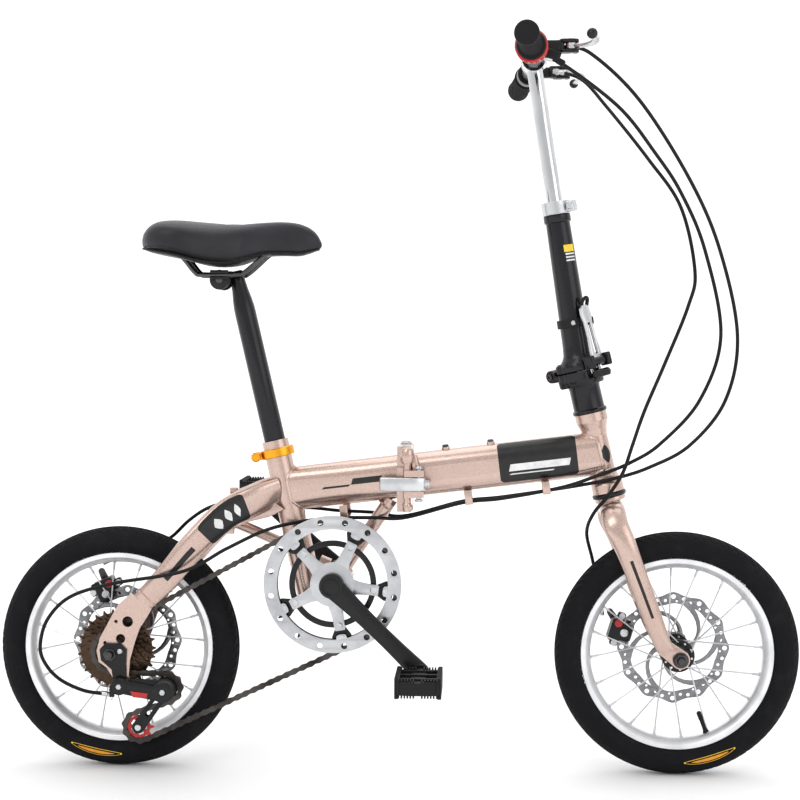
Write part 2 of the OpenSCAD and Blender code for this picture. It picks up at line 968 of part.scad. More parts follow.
// Cables: a smooth curve through chosen points, swept with a ring that does not twist
cable_r = 2.5;
front_cable_route = [
    [227, 101, 1003], [262, 92, 990], [297, 78, 949], [354, 42, 870], [398, 18, 800],
    [417, 4, 710], [407, -6, 660], [374, -12, 578], [346, -24, 514], [328, -37, 465],
    [316, -40, 430], [298, -39, 400], [276, -28, 370], [269, 2, 340], [279, 34, 300],
    [288, 52, 262], [293, 60, 232], [296, 60, 214]
];
rear_cable_route = [
    [227, -101, 1003], [262, -98, 996], [330, -78, 936], [402, -50, 832],
    [446, -34, 737], [472, -30, 620], [457, -28, 530], [409, -27, 467], [354, -27, 436],
    [306, -27, 420], [244, -13, 406], [150, 0, 390], [93, 2, 383], [12, 8, 361],
    [-32, 20, 364], [-84, 22, 366], [-136, 36, 368], [-190, 12, 362], [-240, 0, 376],
    [-270, 6, 370], [-301, 24, 350], [-332, 42, 322], [-372, 56, 300], [-410, 66, 292],
    [-436, 68, 280]
];
shift_cable_route = [
    [200, -122, 986], [228, -118, 976], [303, -84, 925], [354, -54, 868], [392, -36, 815],
    [427, -24, 737], [451, -18, 620], [423, -20, 530], [369, -24, 469], [327, -27, 442],
    [285, -29, 425], [232, -21, 406], [150, -12, 389], [93, -10, 382], [12, -8, 360],
    [-32, -21, 361], [-84, -20, 360], [-130, -30, 356], [-180, -46, 345],
    [-234, -60, 320], [-292, -76, 290], [-388, -82, 273], [-448, -82, 254],
    [-480, -82, 223], [-491, -82, 188], [-486, -82, 163], [-465, -82, 139],
    [-431, -78, 122], [-396, -72, 116]
];
function spline(p, i, t) =
    let(
        a = p[max(i - 1, 0)], b = p[i], c = p[i + 1],
        d = p[min(i + 2, len(p) - 1)]
    )
    0.5 * (2 * b + (c - a) * t + (2 * a - 5 * b + 4 * c - d) * t * t
        + (3 * b - a - 3 * c + d) * t * t * t);
function curve(p, steps) = [
    for (i = [0:len(p) - 2])
        for (k = [0:steps - 1])
            spline(p, i, k / steps),
    p[len(p) - 1]
];
function unit(v) = v / norm(v);
function across(u, dir) = unit(u - (u * dir) * dir);
module cable(route, steps) {
    p = curve(route, steps);
    n = len(p);
    dir = [for (i = [0:n - 1]) unit(p[min(i + 1, n - 1)] - p[max(i - 1, 0)])];
    side = [
        for (i = 0, u = across([0.1, 1, 0.3], dir[0]); i < n;
            i = i + 1, u = across(u, dir[min(i, n - 1)]))
            u
    ];
    points = [
        for (i = [0:n - 1])
            for (k = [0:cable_fn - 1])
                let(a = 360 * k / cable_fn)
                p[i] + cable_r * (cos(a) * side[i] + sin(a) * cross(dir[i], side[i]))
    ];
    walls = [
        for (i = [0:n - 2])
            for (k = [0:cable_fn - 1])
                let(a = i * cable_fn + k, b = i * cable_fn + (k + 1) % cable_fn)
                each [[a, a + cable_fn, b + cable_fn], [a, b + cable_fn, b]]
    ];
    ends = [
        [for (k = [0:cable_fn - 1]) k],
        [for (k = [cable_fn - 1:-1:0]) (n - 1) * cable_fn + k]
    ];
    polyhedron(points, concat(walls, ends));
}
module front_brake_cable() { color("#141416") cable(front_cable_route, 4); }
module rear_brake_cable() { color("#141416") cable(rear_cable_route, 3); }
module shift_cable() { color("#141416") cable(shift_cable_route, 3); }

rear_main_tube();
seat_tube();
bb_shell();
stay_right();
stay_left();
dropout_right();
dropout_left();
hinge_rear();
seat_collar();
rear_axle();
rear_caliper();
derailleur();
chain();
front_main_tube();
head_tube();
hinge_front();
frame_latch_lever();
fork_crown();
fork_leg_right();
fork_leg_left();
front_axle();
stem_base();
front_caliper();
stem_tube();
stem_collar();
stem_latch_lever();
mast_tube();
handlebar();
grips();
brake_perches();
brake_lever_right();
brake_lever_left();
shifter_ring();
front_tyre();
front_rim();
front_spokes();
front_hub();
front_rotor();
rear_tyre();
rear_rim();
rear_spokes();
rear_hub();
rear_rotor();
freewheel();
crank_right();
crank_left();
chainring();
chainguard();
pedal_right();
pedal_left();
seat_post();
saddle();
saddle_rails();
upper_pulley();
lower_pulley();
front_caliper_arm();
rear_caliper_arm();
front_brake_cable();
rear_brake_cable();
shift_cable();
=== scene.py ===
"""The looks of a folding bicycle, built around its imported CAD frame.

Shapes are worked out in millimetres and turned into metres as each piece is made.
+X is forward, +Y is the rider's left, +Z is up.
"""

import json
import math
import random

import bmesh
import bpy
from mathutils import Matrix, Vector


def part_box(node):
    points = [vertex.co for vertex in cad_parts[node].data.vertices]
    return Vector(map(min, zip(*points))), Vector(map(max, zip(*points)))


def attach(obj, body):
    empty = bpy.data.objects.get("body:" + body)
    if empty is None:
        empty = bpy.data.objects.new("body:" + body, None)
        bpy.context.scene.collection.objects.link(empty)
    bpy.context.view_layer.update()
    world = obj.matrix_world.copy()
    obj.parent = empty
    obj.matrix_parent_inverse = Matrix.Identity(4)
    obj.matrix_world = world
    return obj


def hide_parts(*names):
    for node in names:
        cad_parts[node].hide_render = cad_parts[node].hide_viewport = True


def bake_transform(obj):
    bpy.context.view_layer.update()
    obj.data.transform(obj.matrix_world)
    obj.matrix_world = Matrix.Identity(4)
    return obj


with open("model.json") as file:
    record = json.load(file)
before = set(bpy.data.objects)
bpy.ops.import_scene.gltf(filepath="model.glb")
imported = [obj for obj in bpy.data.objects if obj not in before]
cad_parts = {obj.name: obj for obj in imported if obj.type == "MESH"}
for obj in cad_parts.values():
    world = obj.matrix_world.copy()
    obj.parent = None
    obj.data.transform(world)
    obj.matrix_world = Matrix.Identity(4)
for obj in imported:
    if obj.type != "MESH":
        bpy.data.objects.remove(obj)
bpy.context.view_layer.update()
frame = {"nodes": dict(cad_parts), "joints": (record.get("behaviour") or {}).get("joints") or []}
joints = {j["name"]: j for j in frame["joints"]}
random.seed(7)

MM = 0.001
X, Y, Z = Vector((1, 0, 0)), Vector((0, 1, 0)), Vector((0, 0, 1))


def pivot(name):
    """Where a joint turns, in millimetres."""
    return Vector(joints[name]["pos_m"]) / MM


def axis_of(name):
    return Vector(joints[name]["axis"]).normalized()


def middle(node):
    low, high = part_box(node)
    return (low + high) / 2 / MM


def turn_to(direction):
    """The rotation that takes +Z to a direction and keeps +Y near its place."""
    z = Vector(direction).normalized()
    x = (Y.cross(z) if abs(z.y) < 0.95 else Z.cross(z)).normalized()
    return Matrix((x, z.cross(x), z)).transposed().to_4x4()


def placed(origin, direction=Z, turn=0.0):
    """A frame at origin with its +Z along direction, turned about it by an angle in degrees."""
    return Matrix.Translation(origin) @ turn_to(direction) @ Matrix.Rotation(math.radians(turn), 4, "Z")


def polar(r, degrees):
    a = math.radians(degrees)
    return (r * math.cos(a), r * math.sin(a))


def circle(r, centre=(0, 0), steps=32, start=0.0):
    return [
        (centre[0] + r * math.cos(a), centre[1] + r * math.sin(a))
        for a in (math.radians(start) + 2 * math.pi * i / steps for i in range(steps))
    ]


def rounded(width, height, r, centre=(0, 0), steps=5):
    """A rectangle with round corners."""
    loop = []
    for k, (sx, sy) in enumerate(((1, 1), (-1, 1), (-1, -1), (1, -1))):
        for i in range(steps + 1):
            a = math.radians(90 * k + 90 * i / steps)
            loop.append((
                centre[0] + sx * (width / 2 - r) + r * math.cos(a),
                centre[1] + sy * (height / 2 - r) + r * math.sin(a),
            ))
    return loop


def slot_2d(a, b, ra, rb, steps=10):
    """The outline round two circles."""
    a, b = Vector(a), Vector(b)
    d = b - a
    heading = math.atan2(d.y, d.x)
    lean = math.acos(max(-1.0, min(1.0, (ra - rb) / d.length)))
    loop = []
    for centre, r, start, stop in (
        (a, ra, heading + lean, heading + 2 * math.pi - lean),
        (b, rb, heading - lean, heading + lean),
    ):
        for i in range(steps + 1):
            t = start + (stop - start) * i / steps
            loop.append((centre.x + r * math.cos(t), centre.y + r * math.sin(t)))
    return loop


def spline(points, steps):
    """A smooth curve through the points."""
    points = [Vector(p) for p in points]
    last = len(points) - 1
    path = []
    for i in range(last):
        a, b, c, d = (points[max(0, min(last, i + k))] for k in (-1, 0, 1, 2))
        for k in range(steps):
            t = k / steps
            path.append(0.5 * (
                2 * b + (c - a) * t + (2 * a - 5 * b + 4 * c - d) * t * t
                + (3 * b - a - 3 * c + d) * t ** 3
            ))
    path.append(points[last])
    return path


class Shape:
    """Points in millimetres and faces, gathered from simple solids."""

    def __init__(self):
        self.points = []
        self.faces = []

    def add(self, points, faces, place=None):
        first = len(self.points)
        self.points += [place @ Vector(p) if place else Vector(p) for p in points]
        self.faces += [[first + i for i in f] for f in faces]
        return self

    def skin(self, rings, closed=False, place=None, caps=True):
        """Joins rings that have the same number of points."""
        n = len(rings[0])
        faces = []
        for i in range(len(rings) if closed else len(rings) - 1):
            a, b = i * n, (i + 1) % len(rings) * n
            faces += [[a + k, a + (k + 1) % n, b + (k + 1) % n, b + k] for k in range(n)]
        if caps and not closed:
            faces.append(list(range(n))[::-1])
            faces.append([(len(rings) - 1) * n + k for k in range(n)])
        return self.add([p for ring in rings for p in ring], faces, place)

    def lathe(self, profile, place=None, steps=48, loop=False):
        """Turns a profile of (radius, height) about +Z. A loop is a closed profile."""
        place = place or Matrix.Identity(4)
        rings = []
        for i in range(steps):
            a = 2 * math.pi * i / steps
            rings.append([(r * math.cos(a), r * math.sin(a), h) for r, h in profile])
        if loop:
            return self.skin(rings, closed=True, place=place)
        n, first = len(profile), len(self.points)
        points = [p for ring in rings for p in ring]
        faces = []
        for i in range(steps):
            a, b = i * n, (i + 1) % steps * n
            faces += [[a + k, b + k, b + k + 1, a + k + 1] for k in range(n - 1)]
        for k in (0, n - 1):
            if profile[k][0] > 0.01:
                faces.append([i * n + k for i in range(steps)])
        return self.add(points, faces, place)

    def rod(self, p, q, r, r2=None, sides=24, edge=0.4):
        """A round bar with its edges taken off."""
        p, q = Vector(p), Vector(q)
        r2 = r if r2 is None else r2
        h = (q - p).length
        edge = min(edge, r / 2, r2 / 2, h / 3)
        profile = [(0, 0), (r - edge, 0), (r, edge), (r2, h - edge), (r2 - edge, h), (0, h)]
        return self.lathe(profile, placed(p, q - p), sides)

    def sweep(self, path, radius, sides=12, squash=1.0, caps=True, side=None):
        """A tube along a path. The radius is a number, or a function of the share of the path."""
        path = [Vector(p) for p in path]
        last = len(path) - 1
        rings, u = [], Vector(side or (0.1, 1, 0.3))
        for i, p in enumerate(path):
            d = (path[min(i + 1, last)] - path[max(i - 1, 0)]).normalized()
            u = (u - u.dot(d) * d).normalized()
            v = d.cross(u)
            r = radius(i / last) if callable(radius) else radius
            rings.append([
                p + r * (math.cos(t) * squash * u + math.sin(t) * v)
                for t in (2 * math.pi * k / sides for k in range(sides))
            ])
        return self.skin(rings, caps=caps)

    def plate(self, loops, depth, place=None, edge=0.4):
        """A flat plate with holes, drawn in x and y and centred on z = 0. Its edges are rounded."""
        curve = bpy.data.curves.new("plate", "CURVE")
        curve.dimensions = "2D"
        curve.fill_mode = "BOTH"
        curve.extrude = depth / 2 - edge
        curve.bevel_depth = edge
        curve.bevel_resolution = 1
        curve.offset = -edge
        for loop in loops:
            line = curve.splines.new("POLY")
            line.points.add(len(loop) - 1)
            line.use_cyclic_u = True
            for point, (x, y) in zip(line.points, loop):
                point.co = (x, y, 0, 1)
        holder = bpy.data.objects.new("plate", curve)
        mesh = bpy.data.meshes.new_from_object(holder)
        self.add([v.co for v in mesh.vertices], [list(f.vertices) for f in mesh.polygons], place)
        bpy.data.objects.remove(holder)
        bpy.data.curves.remove(curve)
        bpy.data.meshes.remove(mesh)
        return self

    def side_plate(self, loops, y0, y1, edge=0.4):
        """A plate drawn in the side view, between two places across the bicycle."""
        place = Matrix.Translation((0, (y0 + y1) / 2, 0)) @ Matrix.Rotation(math.pi / 2, 4, "X")
        return self.plate(loops, abs(y1 - y0), place, edge)

    def block(self, size, place=None, r=2.0, steps=3):
        """A box with rounded edges: round in its outline, and its faces eased off."""
        w, d, h = size
        r = min(r, w / 2.01, d / 2.01)
        ease = min(r * 0.6, h / 3)
        rings = []
        for k in range(-steps, steps + 1):
            t = k / steps
            a = math.pi / 2 * abs(t)
            if k < 0:
                inset, z = ease * (1 - math.cos(a)), -h / 2 + ease * (1 - math.sin(a))
            else:
                inset, z = ease * (1 - math.cos(a)), h / 2 - ease * (1 - math.sin(a))
            if k == 0:
                rings.append([(x, y, -h / 2 + ease) for x, y in rounded(w, d, r)])
            rings.append([
                (x, y, z) for x, y in rounded(w - 2 * inset, d - 2 * inset, max(0.3, r - inset))
            ])
        return self.skin(rings, place=place)

    def build(self, name, paint, body=None, slot=None, replaces=(), sharp=34, weld=0.004):
        """Makes the piece, and hangs it on its body."""
        mesh = bpy.data.meshes.new(name)
        mesh.from_pydata([p * MM for p in self.points], [], self.faces)
        tidy = bmesh.new()
        tidy.from_mesh(mesh)
        bmesh.ops.remove_doubles(tidy, verts=tidy.verts, dist=weld * MM)
        bmesh.ops.recalc_face_normals(tidy, faces=tidy.faces)
        for f in tidy.faces:
            f.smooth = True
        for e in tidy.edges:
            e.smooth = len(e.link_faces) == 2 and e.calc_face_angle(0) < math.radians(sharp)
        tidy.to_mesh(mesh)
        tidy.free()
        mesh.materials.append(paint)
        piece = bpy.data.objects.new(name, mesh)
        bpy.context.scene.collection.objects.link(piece)
        if body:
            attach(piece, body)
        if replaces:
            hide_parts(*replaces)
        return piece


# ---------------------------------------------------------------- materials


class Nodes:
    """A short way to write a material's nodes."""

    def __init__(self, name):
        self.material = bpy.data.materials.new(name)
        self.material.use_nodes = True
        self.tree = self.material.node_tree
        self.tree.nodes.clear()
        self.shader = self.new("ShaderNodeBsdfPrincipled")
        out = self.new("ShaderNodeOutputMaterial")
        self.link(self.shader.outputs[0], out.inputs[0])
        self.place = self.new("ShaderNodeTexCoord").outputs["Object"]

    def new(self, kind, **values):
        node = self.tree.nodes.new(kind)
        for key, value in values.items():
            setattr(node, key, value)
        return node

    def link(self, a, b):
        self.tree.links.new(a, b)

    def stretched(self, scale):
        node = self.new("ShaderNodeMapping")
        node.inputs["Scale"].default_value = scale
        self.link(self.place, node.inputs["Vector"])
        return node.outputs[0]

    def noise(self, scale, detail=4.0, roughness=0.55, vector=None):
        node = self.new("ShaderNodeTexNoise")
        node.inputs["Scale"].default_value = scale
        node.inputs["Detail"].default_value = detail
        node.inputs["Roughness"].default_value = roughness
        self.link(vector or self.place, node.inputs["Vector"])
        return node.outputs[0]

    def cells(self, scale, feature="F1", vector=None, output="Distance"):
        node = self.new("ShaderNodeTexVoronoi", feature=feature)
        node.inputs["Scale"].default_value = scale
        self.link(vector or self.place, node.inputs["Vector"])
        return node.outputs[output]

    def span(self, value, low, high, to_low, to_high):
        node = self.new("ShaderNodeMapRange")
        for key, number in (("From Min", low), ("From Max", high), ("To Min", to_low), ("To Max", to_high)):
            node.inputs[key].default_value = number
        self.link(value, node.inputs["Value"])
        return node.outputs[0]

    def maths(self, operation, *values):
        node = self.new("ShaderNodeMath", operation=operation)
        for socket, value in zip(node.inputs, values):
            if isinstance(value, (int, float)):
                socket.default_value = value
            else:
                self.link(value, socket)
        return node.outputs[0]

    def blend(self, share, first, second):
        node = self.new("ShaderNodeMix", data_type="RGBA")
        self.link(share, node.inputs[0])
        for socket, value in ((node.inputs[6], first), (node.inputs[7], second)):
            if isinstance(value, tuple):
                socket.default_value = (*value, 1)
            else:
                self.link(value, socket)
        return node.outputs[2]

    def bump(self, height, strength, distance=0.0005, normal=None):
        node = self.new("ShaderNodeBump")
        node.inputs["Strength"].default_value = strength
        node.inputs["Distance"].default_value = distance
        self.link(height, node.inputs["Height"])
        if normal:
            self.link(normal, node.inputs["Normal"])
        return node.outputs[0]

    def finish(self, colour=None, roughness=None, normal=None, **constants):
        for value, key in ((colour, "Base Color"), (roughness, "Roughness"), (normal, "Normal")):
            if value is not None:
                self.link(value, self.shader.inputs[key])
        for key, value in constants.items():
            self.shader.inputs[key.replace("_", " ")].default_value = value
        return self.material


def coated(name, colour, worn, rough=(0.3, 0.45), grain=700, depth=0.12, **constants):
    """Paint, plastic or rubber: a slow shift of colour, a fine grain and faint handling marks."""
    n = Nodes(name)
    drift = n.noise(9, 5)
    fine = n.noise(grain, 3)
    marks = n.span(n.noise(65, 8, 0.75), 0.60, 0.74, 0, 1)
    base = n.blend(n.span(drift, 0.3, 0.7, 0, 1), colour, tuple(0.82 * c + 0.18 * w for c,
                                                                w in zip(colour, worn)))
    shade = n.blend(n.maths("MULTIPLY", marks, 0.35), base, worn)
    gloss = n.maths("ADD", n.span(fine, 0.25, 0.75, *rough), n.maths("MULTIPLY", marks, 0.08))
    return n.finish(shade, gloss, n.bump(fine, depth, 0.0002), **constants)


def metal(name, colour, dull, rough=(0.2, 0.34), stretch=(1, 1, 1), grain=420, depth=0.06, **constants):
    """Bare or plated metal, with grain drawn out along one way and a dull bloom in places."""
    n = Nodes(name)
    lines = n.noise(grain, 6, 0.7, n.stretched(stretch))
    bloom = n.span(n.noise(26, 5), 0.42, 0.72, 0, 1)
    shade = n.blend(bloom, colour, dull)
    gloss = n.maths("ADD", n.span(lines, 0.3, 0.7, *rough), n.maths("MULTIPLY", bloom, 0.08))
    return n.finish(shade, gloss, n.bump(lines, depth, 0.0002), Metallic=1.0, **constants)


def flake_paint():
    """Champagne metallic paint: fine flakes under a clear coat, orange peel and a warm drift."""
    n = Nodes("flake_paint")
    flakes = n.cells(2600, output="Color")
    flake = n.new("ShaderNodeSeparateColor")
    n.link(flakes, flake.inputs[0])
    drift = n.span(n.noise(6, 4), 0.3, 0.7, 0, 1)
    base = n.blend(drift, (0.50, 0.355, 0.305), (0.565, 0.415, 0.36))
    glint = n.span(flake.outputs[0], 0.55, 1.0, 0, 0.5)
    shade = n.blend(glint, base, (0.92, 0.82, 0.76))
    peel = n.noise(260, 2)
    tilt = n.bump(flake.outputs[1], 0.05, 0.0001)
    return n.finish(
        shade, n.span(flake.outputs[2], 0, 1, 0.20, 0.34), n.bump(peel, 0.03, 0.0003, tilt),
        Metallic=0.86, Coat_Weight=0.5, Coat_Roughness=0.12,
    )


def tyre_rubber():
    """Black rubber with lighter dusty patches and a fine grain."""
    n = Nodes("tyre_rubber")
    fine = n.noise(950, 4)
    dust = n.span(n.noise(38, 7, 0.7), 0.5, 0.78, 0, 0.55)
    shade = n.blend(dust, (0.010, 0.010, 0.012), (0.026, 0.025, 0.025))
    grain = n.maths("ADD", fine, n.maths("MULTIPLY", n.cells(420), 0.6))
    return n.finish(shade, n.span(fine, 0.3, 0.7, 0.56, 0.74), n.bump(grain, 0.22, 0.0004),
                    Specular_IOR_Level=0.2)


def turned_rim():
    """Silver rim with fine circular tool lines, which follow each wheel's own centre."""
    n = Nodes("turned_rim")
    split = n.new("ShaderNodeSeparateXYZ")
    n.link(n.place, split.inputs[0])
    across = n.maths("SUBTRACT", n.maths("ABSOLUTE", split.outputs[0]), wheel_x * MM)
    up = n.maths("SUBTRACT", split.outputs[2], wheel_z * MM)
    far = n.maths("SQRT", n.maths("ADD", n.maths("MULTIPLY", across, across), n.maths("MULTIPLY", up, up)))
    ring = n.new("ShaderNodeCombineXYZ")
    n.link(n.maths("MULTIPLY", far, 55), ring.inputs[0])
    n.link(n.maths("MULTIPLY", split.outputs[1], 55), ring.inputs[1])
    lines = n.noise(70, 5, 0.7, ring.outputs[0])
    bloom = n.span(n.noise(30, 5), 0.4, 0.7, 0, 1)
    shade = n.blend(bloom, (0.86, 0.865, 0.88), (0.72, 0.725, 0.74))
    return n.finish(shade, n.span(lines, 0.3, 0.7, 0.26, 0.44), n.bump(lines, 0.12, 0.0002), Metallic=0.9)


def saddle_vinyl():
    """Soft black vinyl with a pebbled grain, a slow sag of the padding and a faint sheen."""
    n = Nodes("saddle_vinyl")
    pebble = n.cells(620, "SMOOTH_F1")
    fine = n.noise(1500, 3)
    soft = n.noise(16, 3)
    shade = n.blend(n.span(soft, 0.35, 0.7, 0, 1), (0.010, 0.010, 0.013), (0.020, 0.020, 0.026))
    grain = n.maths("ADD", pebble, n.maths("MULTIPLY", fine, 0.4))
    return n.finish(
        shade, n.span(pebble, 0, 0.7, 0.36, 0.52), n.bump(grain, 0.16, 0.0003, n.bump(soft, 0.12, 0.002)),
        Sheen_Weight=0.12, Specular_IOR_Level=0.5,
    )


def printed(name, colour, second, rough=0.34):
    """Ink on a thin film: uneven coverage with a fine screen of dots."""
    n = Nodes(name)
    dots = n.cells(1500)
    cover = n.span(n.noise(120, 6), 0.35, 0.7, 0, 1)
    shade = n.blend(cover, colour, second)
    return n.finish(shade, n.span(dots, 0, 0.6, rough, rough + 0.12), n.bump(dots, 0.03, 0.0001),
                    Coat_Weight=0.3)


wheel_x = middle("front_rim").x
wheel_z = middle("front_rim").z
PAINT = flake_paint()
RUBBER = tyre_rubber()
RIM = turned_rim()
VINYL = saddle_vinyl()
BLACK = coated("satin_black", (0.009, 0.009, 0.010), (0.05, 0.05, 0.055), (0.24, 0.4), 520, 0.1,
               Specular_IOR_Level=0.4, Coat_Weight=0.08)
STEM_BLACK = coated("gloss_black", (0.008, 0.008, 0.010), (0.04, 0.04, 0.05), (0.18, 0.3), 300, 0.05,
                    Specular_IOR_Level=0.4, Coat_Weight=0.15)
PLASTIC = coated("moulded_black", (0.012, 0.012, 0.013), (0.045, 0.045, 0.045), (0.42, 0.58), 1100, 0.2,
                 Specular_IOR_Level=0.3)
GRIP = coated("grip_rubber", (0.014, 0.014, 0.016), (0.04, 0.04, 0.04), (0.6, 0.78), 1500, 0.4,
              Specular_IOR_Level=0.25)
RED = coated("red_plastic", (0.46, 0.014, 0.016), (0.60, 0.08, 0.07), (0.24, 0.36), 600, 0.06,
             Coat_Weight=0.4)
HOUSING = coated("cable_sleeve", (0.008, 0.008, 0.009), (0.03, 0.03, 0.03), (0.32, 0.42), 900, 0.08,
                 Specular_IOR_Level=0.3)
SILVER = metal("silver_alloy", (0.66, 0.665, 0.68), (0.50, 0.505, 0.52), (0.24, 0.38), (1, 1, 9))
GUARD = metal("guard_silver", (0.60, 0.605, 0.62), (0.47, 0.48, 0.50), (0.30, 0.44), (6, 1, 6), 260)
CHROME = metal("chrome", (0.68, 0.685, 0.70), (0.58, 0.585, 0.60), (0.04, 0.09), (1, 1, 0.4), 160, 0.015)
STEEL = metal("zinc_steel", (0.62, 0.625, 0.64), (0.46, 0.465, 0.47), (0.26, 0.42), (1, 1, 1), 500)
DARK = metal("dark_steel", (0.13, 0.125, 0.13), (0.07, 0.065, 0.065), (0.3, 0.46))
DISC = metal("brake_disc", (0.30, 0.30, 0.31), (0.21, 0.21, 0.22), (0.2, 0.34), (9, 1, 2), 300, 0.1)
GOLD = metal("gold_anodised", (0.88, 0.42, 0.045), (0.74, 0.32, 0.03), (0.2, 0.34), (1, 1, 8))
CHAIN = metal("oiled_chain", (0.115, 0.105, 0.10), (0.045, 0.040, 0.037), (0.3, 0.5), (1, 1, 1), 700, 0.14)
COG = metal("cog_steel", (0.11, 0.075, 0.055), (0.05, 0.032, 0.024), (0.28, 0.46), (4, 1, 4), 500, 0.14)
BLACK_FILM = printed("black_film", (0.006, 0.006, 0.007), (0.012, 0.012, 0.013), 0.3)
PALE_FILM = printed("pale_film", (0.80, 0.80, 0.80), (0.62, 0.62, 0.63))
YELLOW_FILM = printed("yellow_film", (0.86, 0.62, 0.04), (0.78, 0.50, 0.03))
ORANGE_FILM = printed("orange_film", (0.78, 0.34, 0.02), (0.68, 0.26, 0.015))


# ---------------------------------------------------------------- wheels

tyre_r = wheel_z
tube_r = 21.9
tube_mid_r = tyre_r - tube_r
rim_r = 135.5
rim_in = 120.5
spoke_count = 20
hub_hole_r = 19
flange_y = 24
flange_r = 23
disc_r = 80


def wheel_place(x):
    """A frame at a wheel's centre: its +Z is along +Y, and angles are counted from +X up to +Z."""
    return Matrix.Translation((x, 0, wheel_z)) @ Matrix(((1, 0, 0, 0), (0, 0, 1, 0), (0, 1, 0, 0),
                                                         (0, 0, 0, 1)))


def groove(run, y):
    """Depth of the tread at a place: slanted side blocks, and zigzag grooves near the middle."""
    side = abs(y)
    if side > 17.5:
        return 0.0
    deep = 0.0
    slant = (run + side * 1.1 + (6.5 if y > 0 else 0)) % 13 / 13
    if 5.2 < side < 17.0 and slant < 0.2:
        deep = 1.3
    fine = (run - side * 0.8) % 6.5 / 6.5
    if 9 < side < 17.5 and fine < 0.24:
        deep = max(deep, 0.8)
    zigzag = 4.6 + 1.0 * (2 * abs((run / 13) % 1 - 0.5) - 0.5)
    if abs(side - zigzag) < 0.8:
        deep = 1.4
    if side < 0.7:
        deep = max(deep, 0.9)
    return deep


def tyre(name, x, body):
    """A tyre with a tread, a shoulder line and two ribs on each sidewall."""
    around, across = 640, 44
    shape, rings = Shape(), []
    for i in range(around):
        a = 2 * math.pi * i / around
        run = a * tyre_r
        ring = []
        for k in range(across + 1):
            t = math.radians(-130 + 260 * k / across)
            y = tube_r * math.sin(t)
            r = tube_r - groove(run, y)
            bare = abs(math.degrees(t))
            if abs(bare - 64) < 3.2 or abs(bare - 104) < 3.2:
                r -= 0.5
            y = r * math.sin(t)
            if bare > 112:
                y *= 1 - 0.16 * (bare - 112) / 18
            far = tube_mid_r + r * math.cos(t)
            ring.append((far * math.cos(a), far * math.sin(a), y))
        for k in range(6):
            t = math.radians(118 - 236 * k / 5)
            far = tube_mid_r + (tube_r - 5) * math.cos(t)
            ring.append((far * math.cos(a), far * math.sin(a), (tube_r - 5) * math.sin(t)))
        rings.append(ring)
    shape.skin(rings, closed=True, place=wheel_place(x))
    return shape.build(name + "_tyre_tread", RUBBER, body, "tyre_rubber", (name + "_tyre",), sharp=48)


def sidewall(x, side, start, stop, low, high, lift, steps=24):
    """A thin film on a tyre's sidewall between two angles. low and high give its edges along it."""
    shape, rings = Shape(), []
    for i in range(steps + 1):
        s = i / steps
        a = math.radians(start + (stop - start) * s)
        ring = []
        for k in range(9):
            c = low(s) + (high(s) - low(s)) * k / 8
            t = math.radians(c)
            far = tube_mid_r + (tube_r + lift) * math.cos(t)
            ring.append((far * math.cos(a), far * math.sin(a), side * (tube_r + lift) * math.sin(t)))
        rings.append(ring)
    return shape, rings


def film(rings, x, lift=0.12):
    """Gives a film of rings its back, so that it is a thin closed sheet."""
    shape = Shape()
    place = wheel_place(x)
    closed = []
    for ring in rings:
        back = [Vector(p) * (1 - lift / Vector(p).length) for p in reversed(ring)]
        closed.append([Vector(p) for p in ring] + back)
    return shape.skin(closed, place=place)


def tyre_marks(name, x, body, centre, side):
    """A plain lens low on the sidewall: a yellow line round a black ground, and an orange band in it."""
    mid = 83
    layers = (("line", YELLOW_FILM, 14.2, 12, 0.35), ("ground", RUBBER, 13.2, 9.6, 0.55),
              ("band", ORANGE_FILM, 10, 5.5, 0.75))
    for part, paint, span, half, lift in layers:
        _, rings = sidewall(
            x, side, centre - span, centre + span, lambda s: mid - half * max(0.06,
                math.sin(math.pi * s)) ** 0.55,
            lambda s: mid + half * max(0.06, math.sin(math.pi * s)) ** 0.55, lift, 24,
        )
        piece = film(rings, x)
        word = "left" if side > 0 else "right"
        piece.build(f"{name}_tyre_{part}_{word}", paint, body, "tyre_rubber")


def rim(name, x, body, valve_at):
    """A hollow rim with rolled edges, spoke seats and a valve."""
    profile = [
        (135.4, 13.6), (134.6, 14.1), (128.5, 14.1), (127.2, 13.2), (122.6, 8.2), (121.0, 5.4), (120.6, 0),
        (121.0, -5.4), (122.6, -8.2), (127.2, -13.2), (128.5, -14.1), (134.6, -14.1), (135.4, -13.6),
        (134.0, -12.2), (129.2, -11.8), (127.6, -6), (127.6, 6), (129.2, 11.8), (134.0, 12.2),
    ]
    place = wheel_place(x)
    Shape().lathe(profile, place, 160, loop=True).build(
        name + "_rim_ring", RIM, body, "rim_alloy", (name + "_rim",), sharp=28
    )
    seats = Shape()
    for i in range(spoke_count):
        out = Vector((*polar(1, 18 * i + 4), 0))
        seats.lathe(
            [(0, -1), (3.1, -1), (3.1, 0.2), (2.4, 0.7), (0, 0.7)],
            place @ placed(out * (rim_in + 0.4) + Vector((0, 0, 2 if i % 2 else -2)), -out), 16,
        )
    seats.build(name + "_spoke_seats", SILVER, body, "rim_alloy")
    out = Vector((*polar(1, valve_at), 0))
    stem = placed(out * (rim_in + 1), -out)
    valve = Shape()
    valve.lathe([(0, -6), (4.6, -6), (4.6, 1.2), (3.4, 4), (3.0, 8), (2.9, 20), (2.4, 21), (0, 21)],
                place @ stem, 24)
    valve.lathe(
        [(0, 20.6), (3.4, 20.6)] + [(3.5 - 0.25 * (k % 2), 21.2 + k) for k in range(9)]
        + [(3.1, 30.8), (2.0, 32), (0, 32.2)], place @ stem, 20,
    )
    valve.build(name + "_valve", PLASTIC, body, "tyre_rubber")


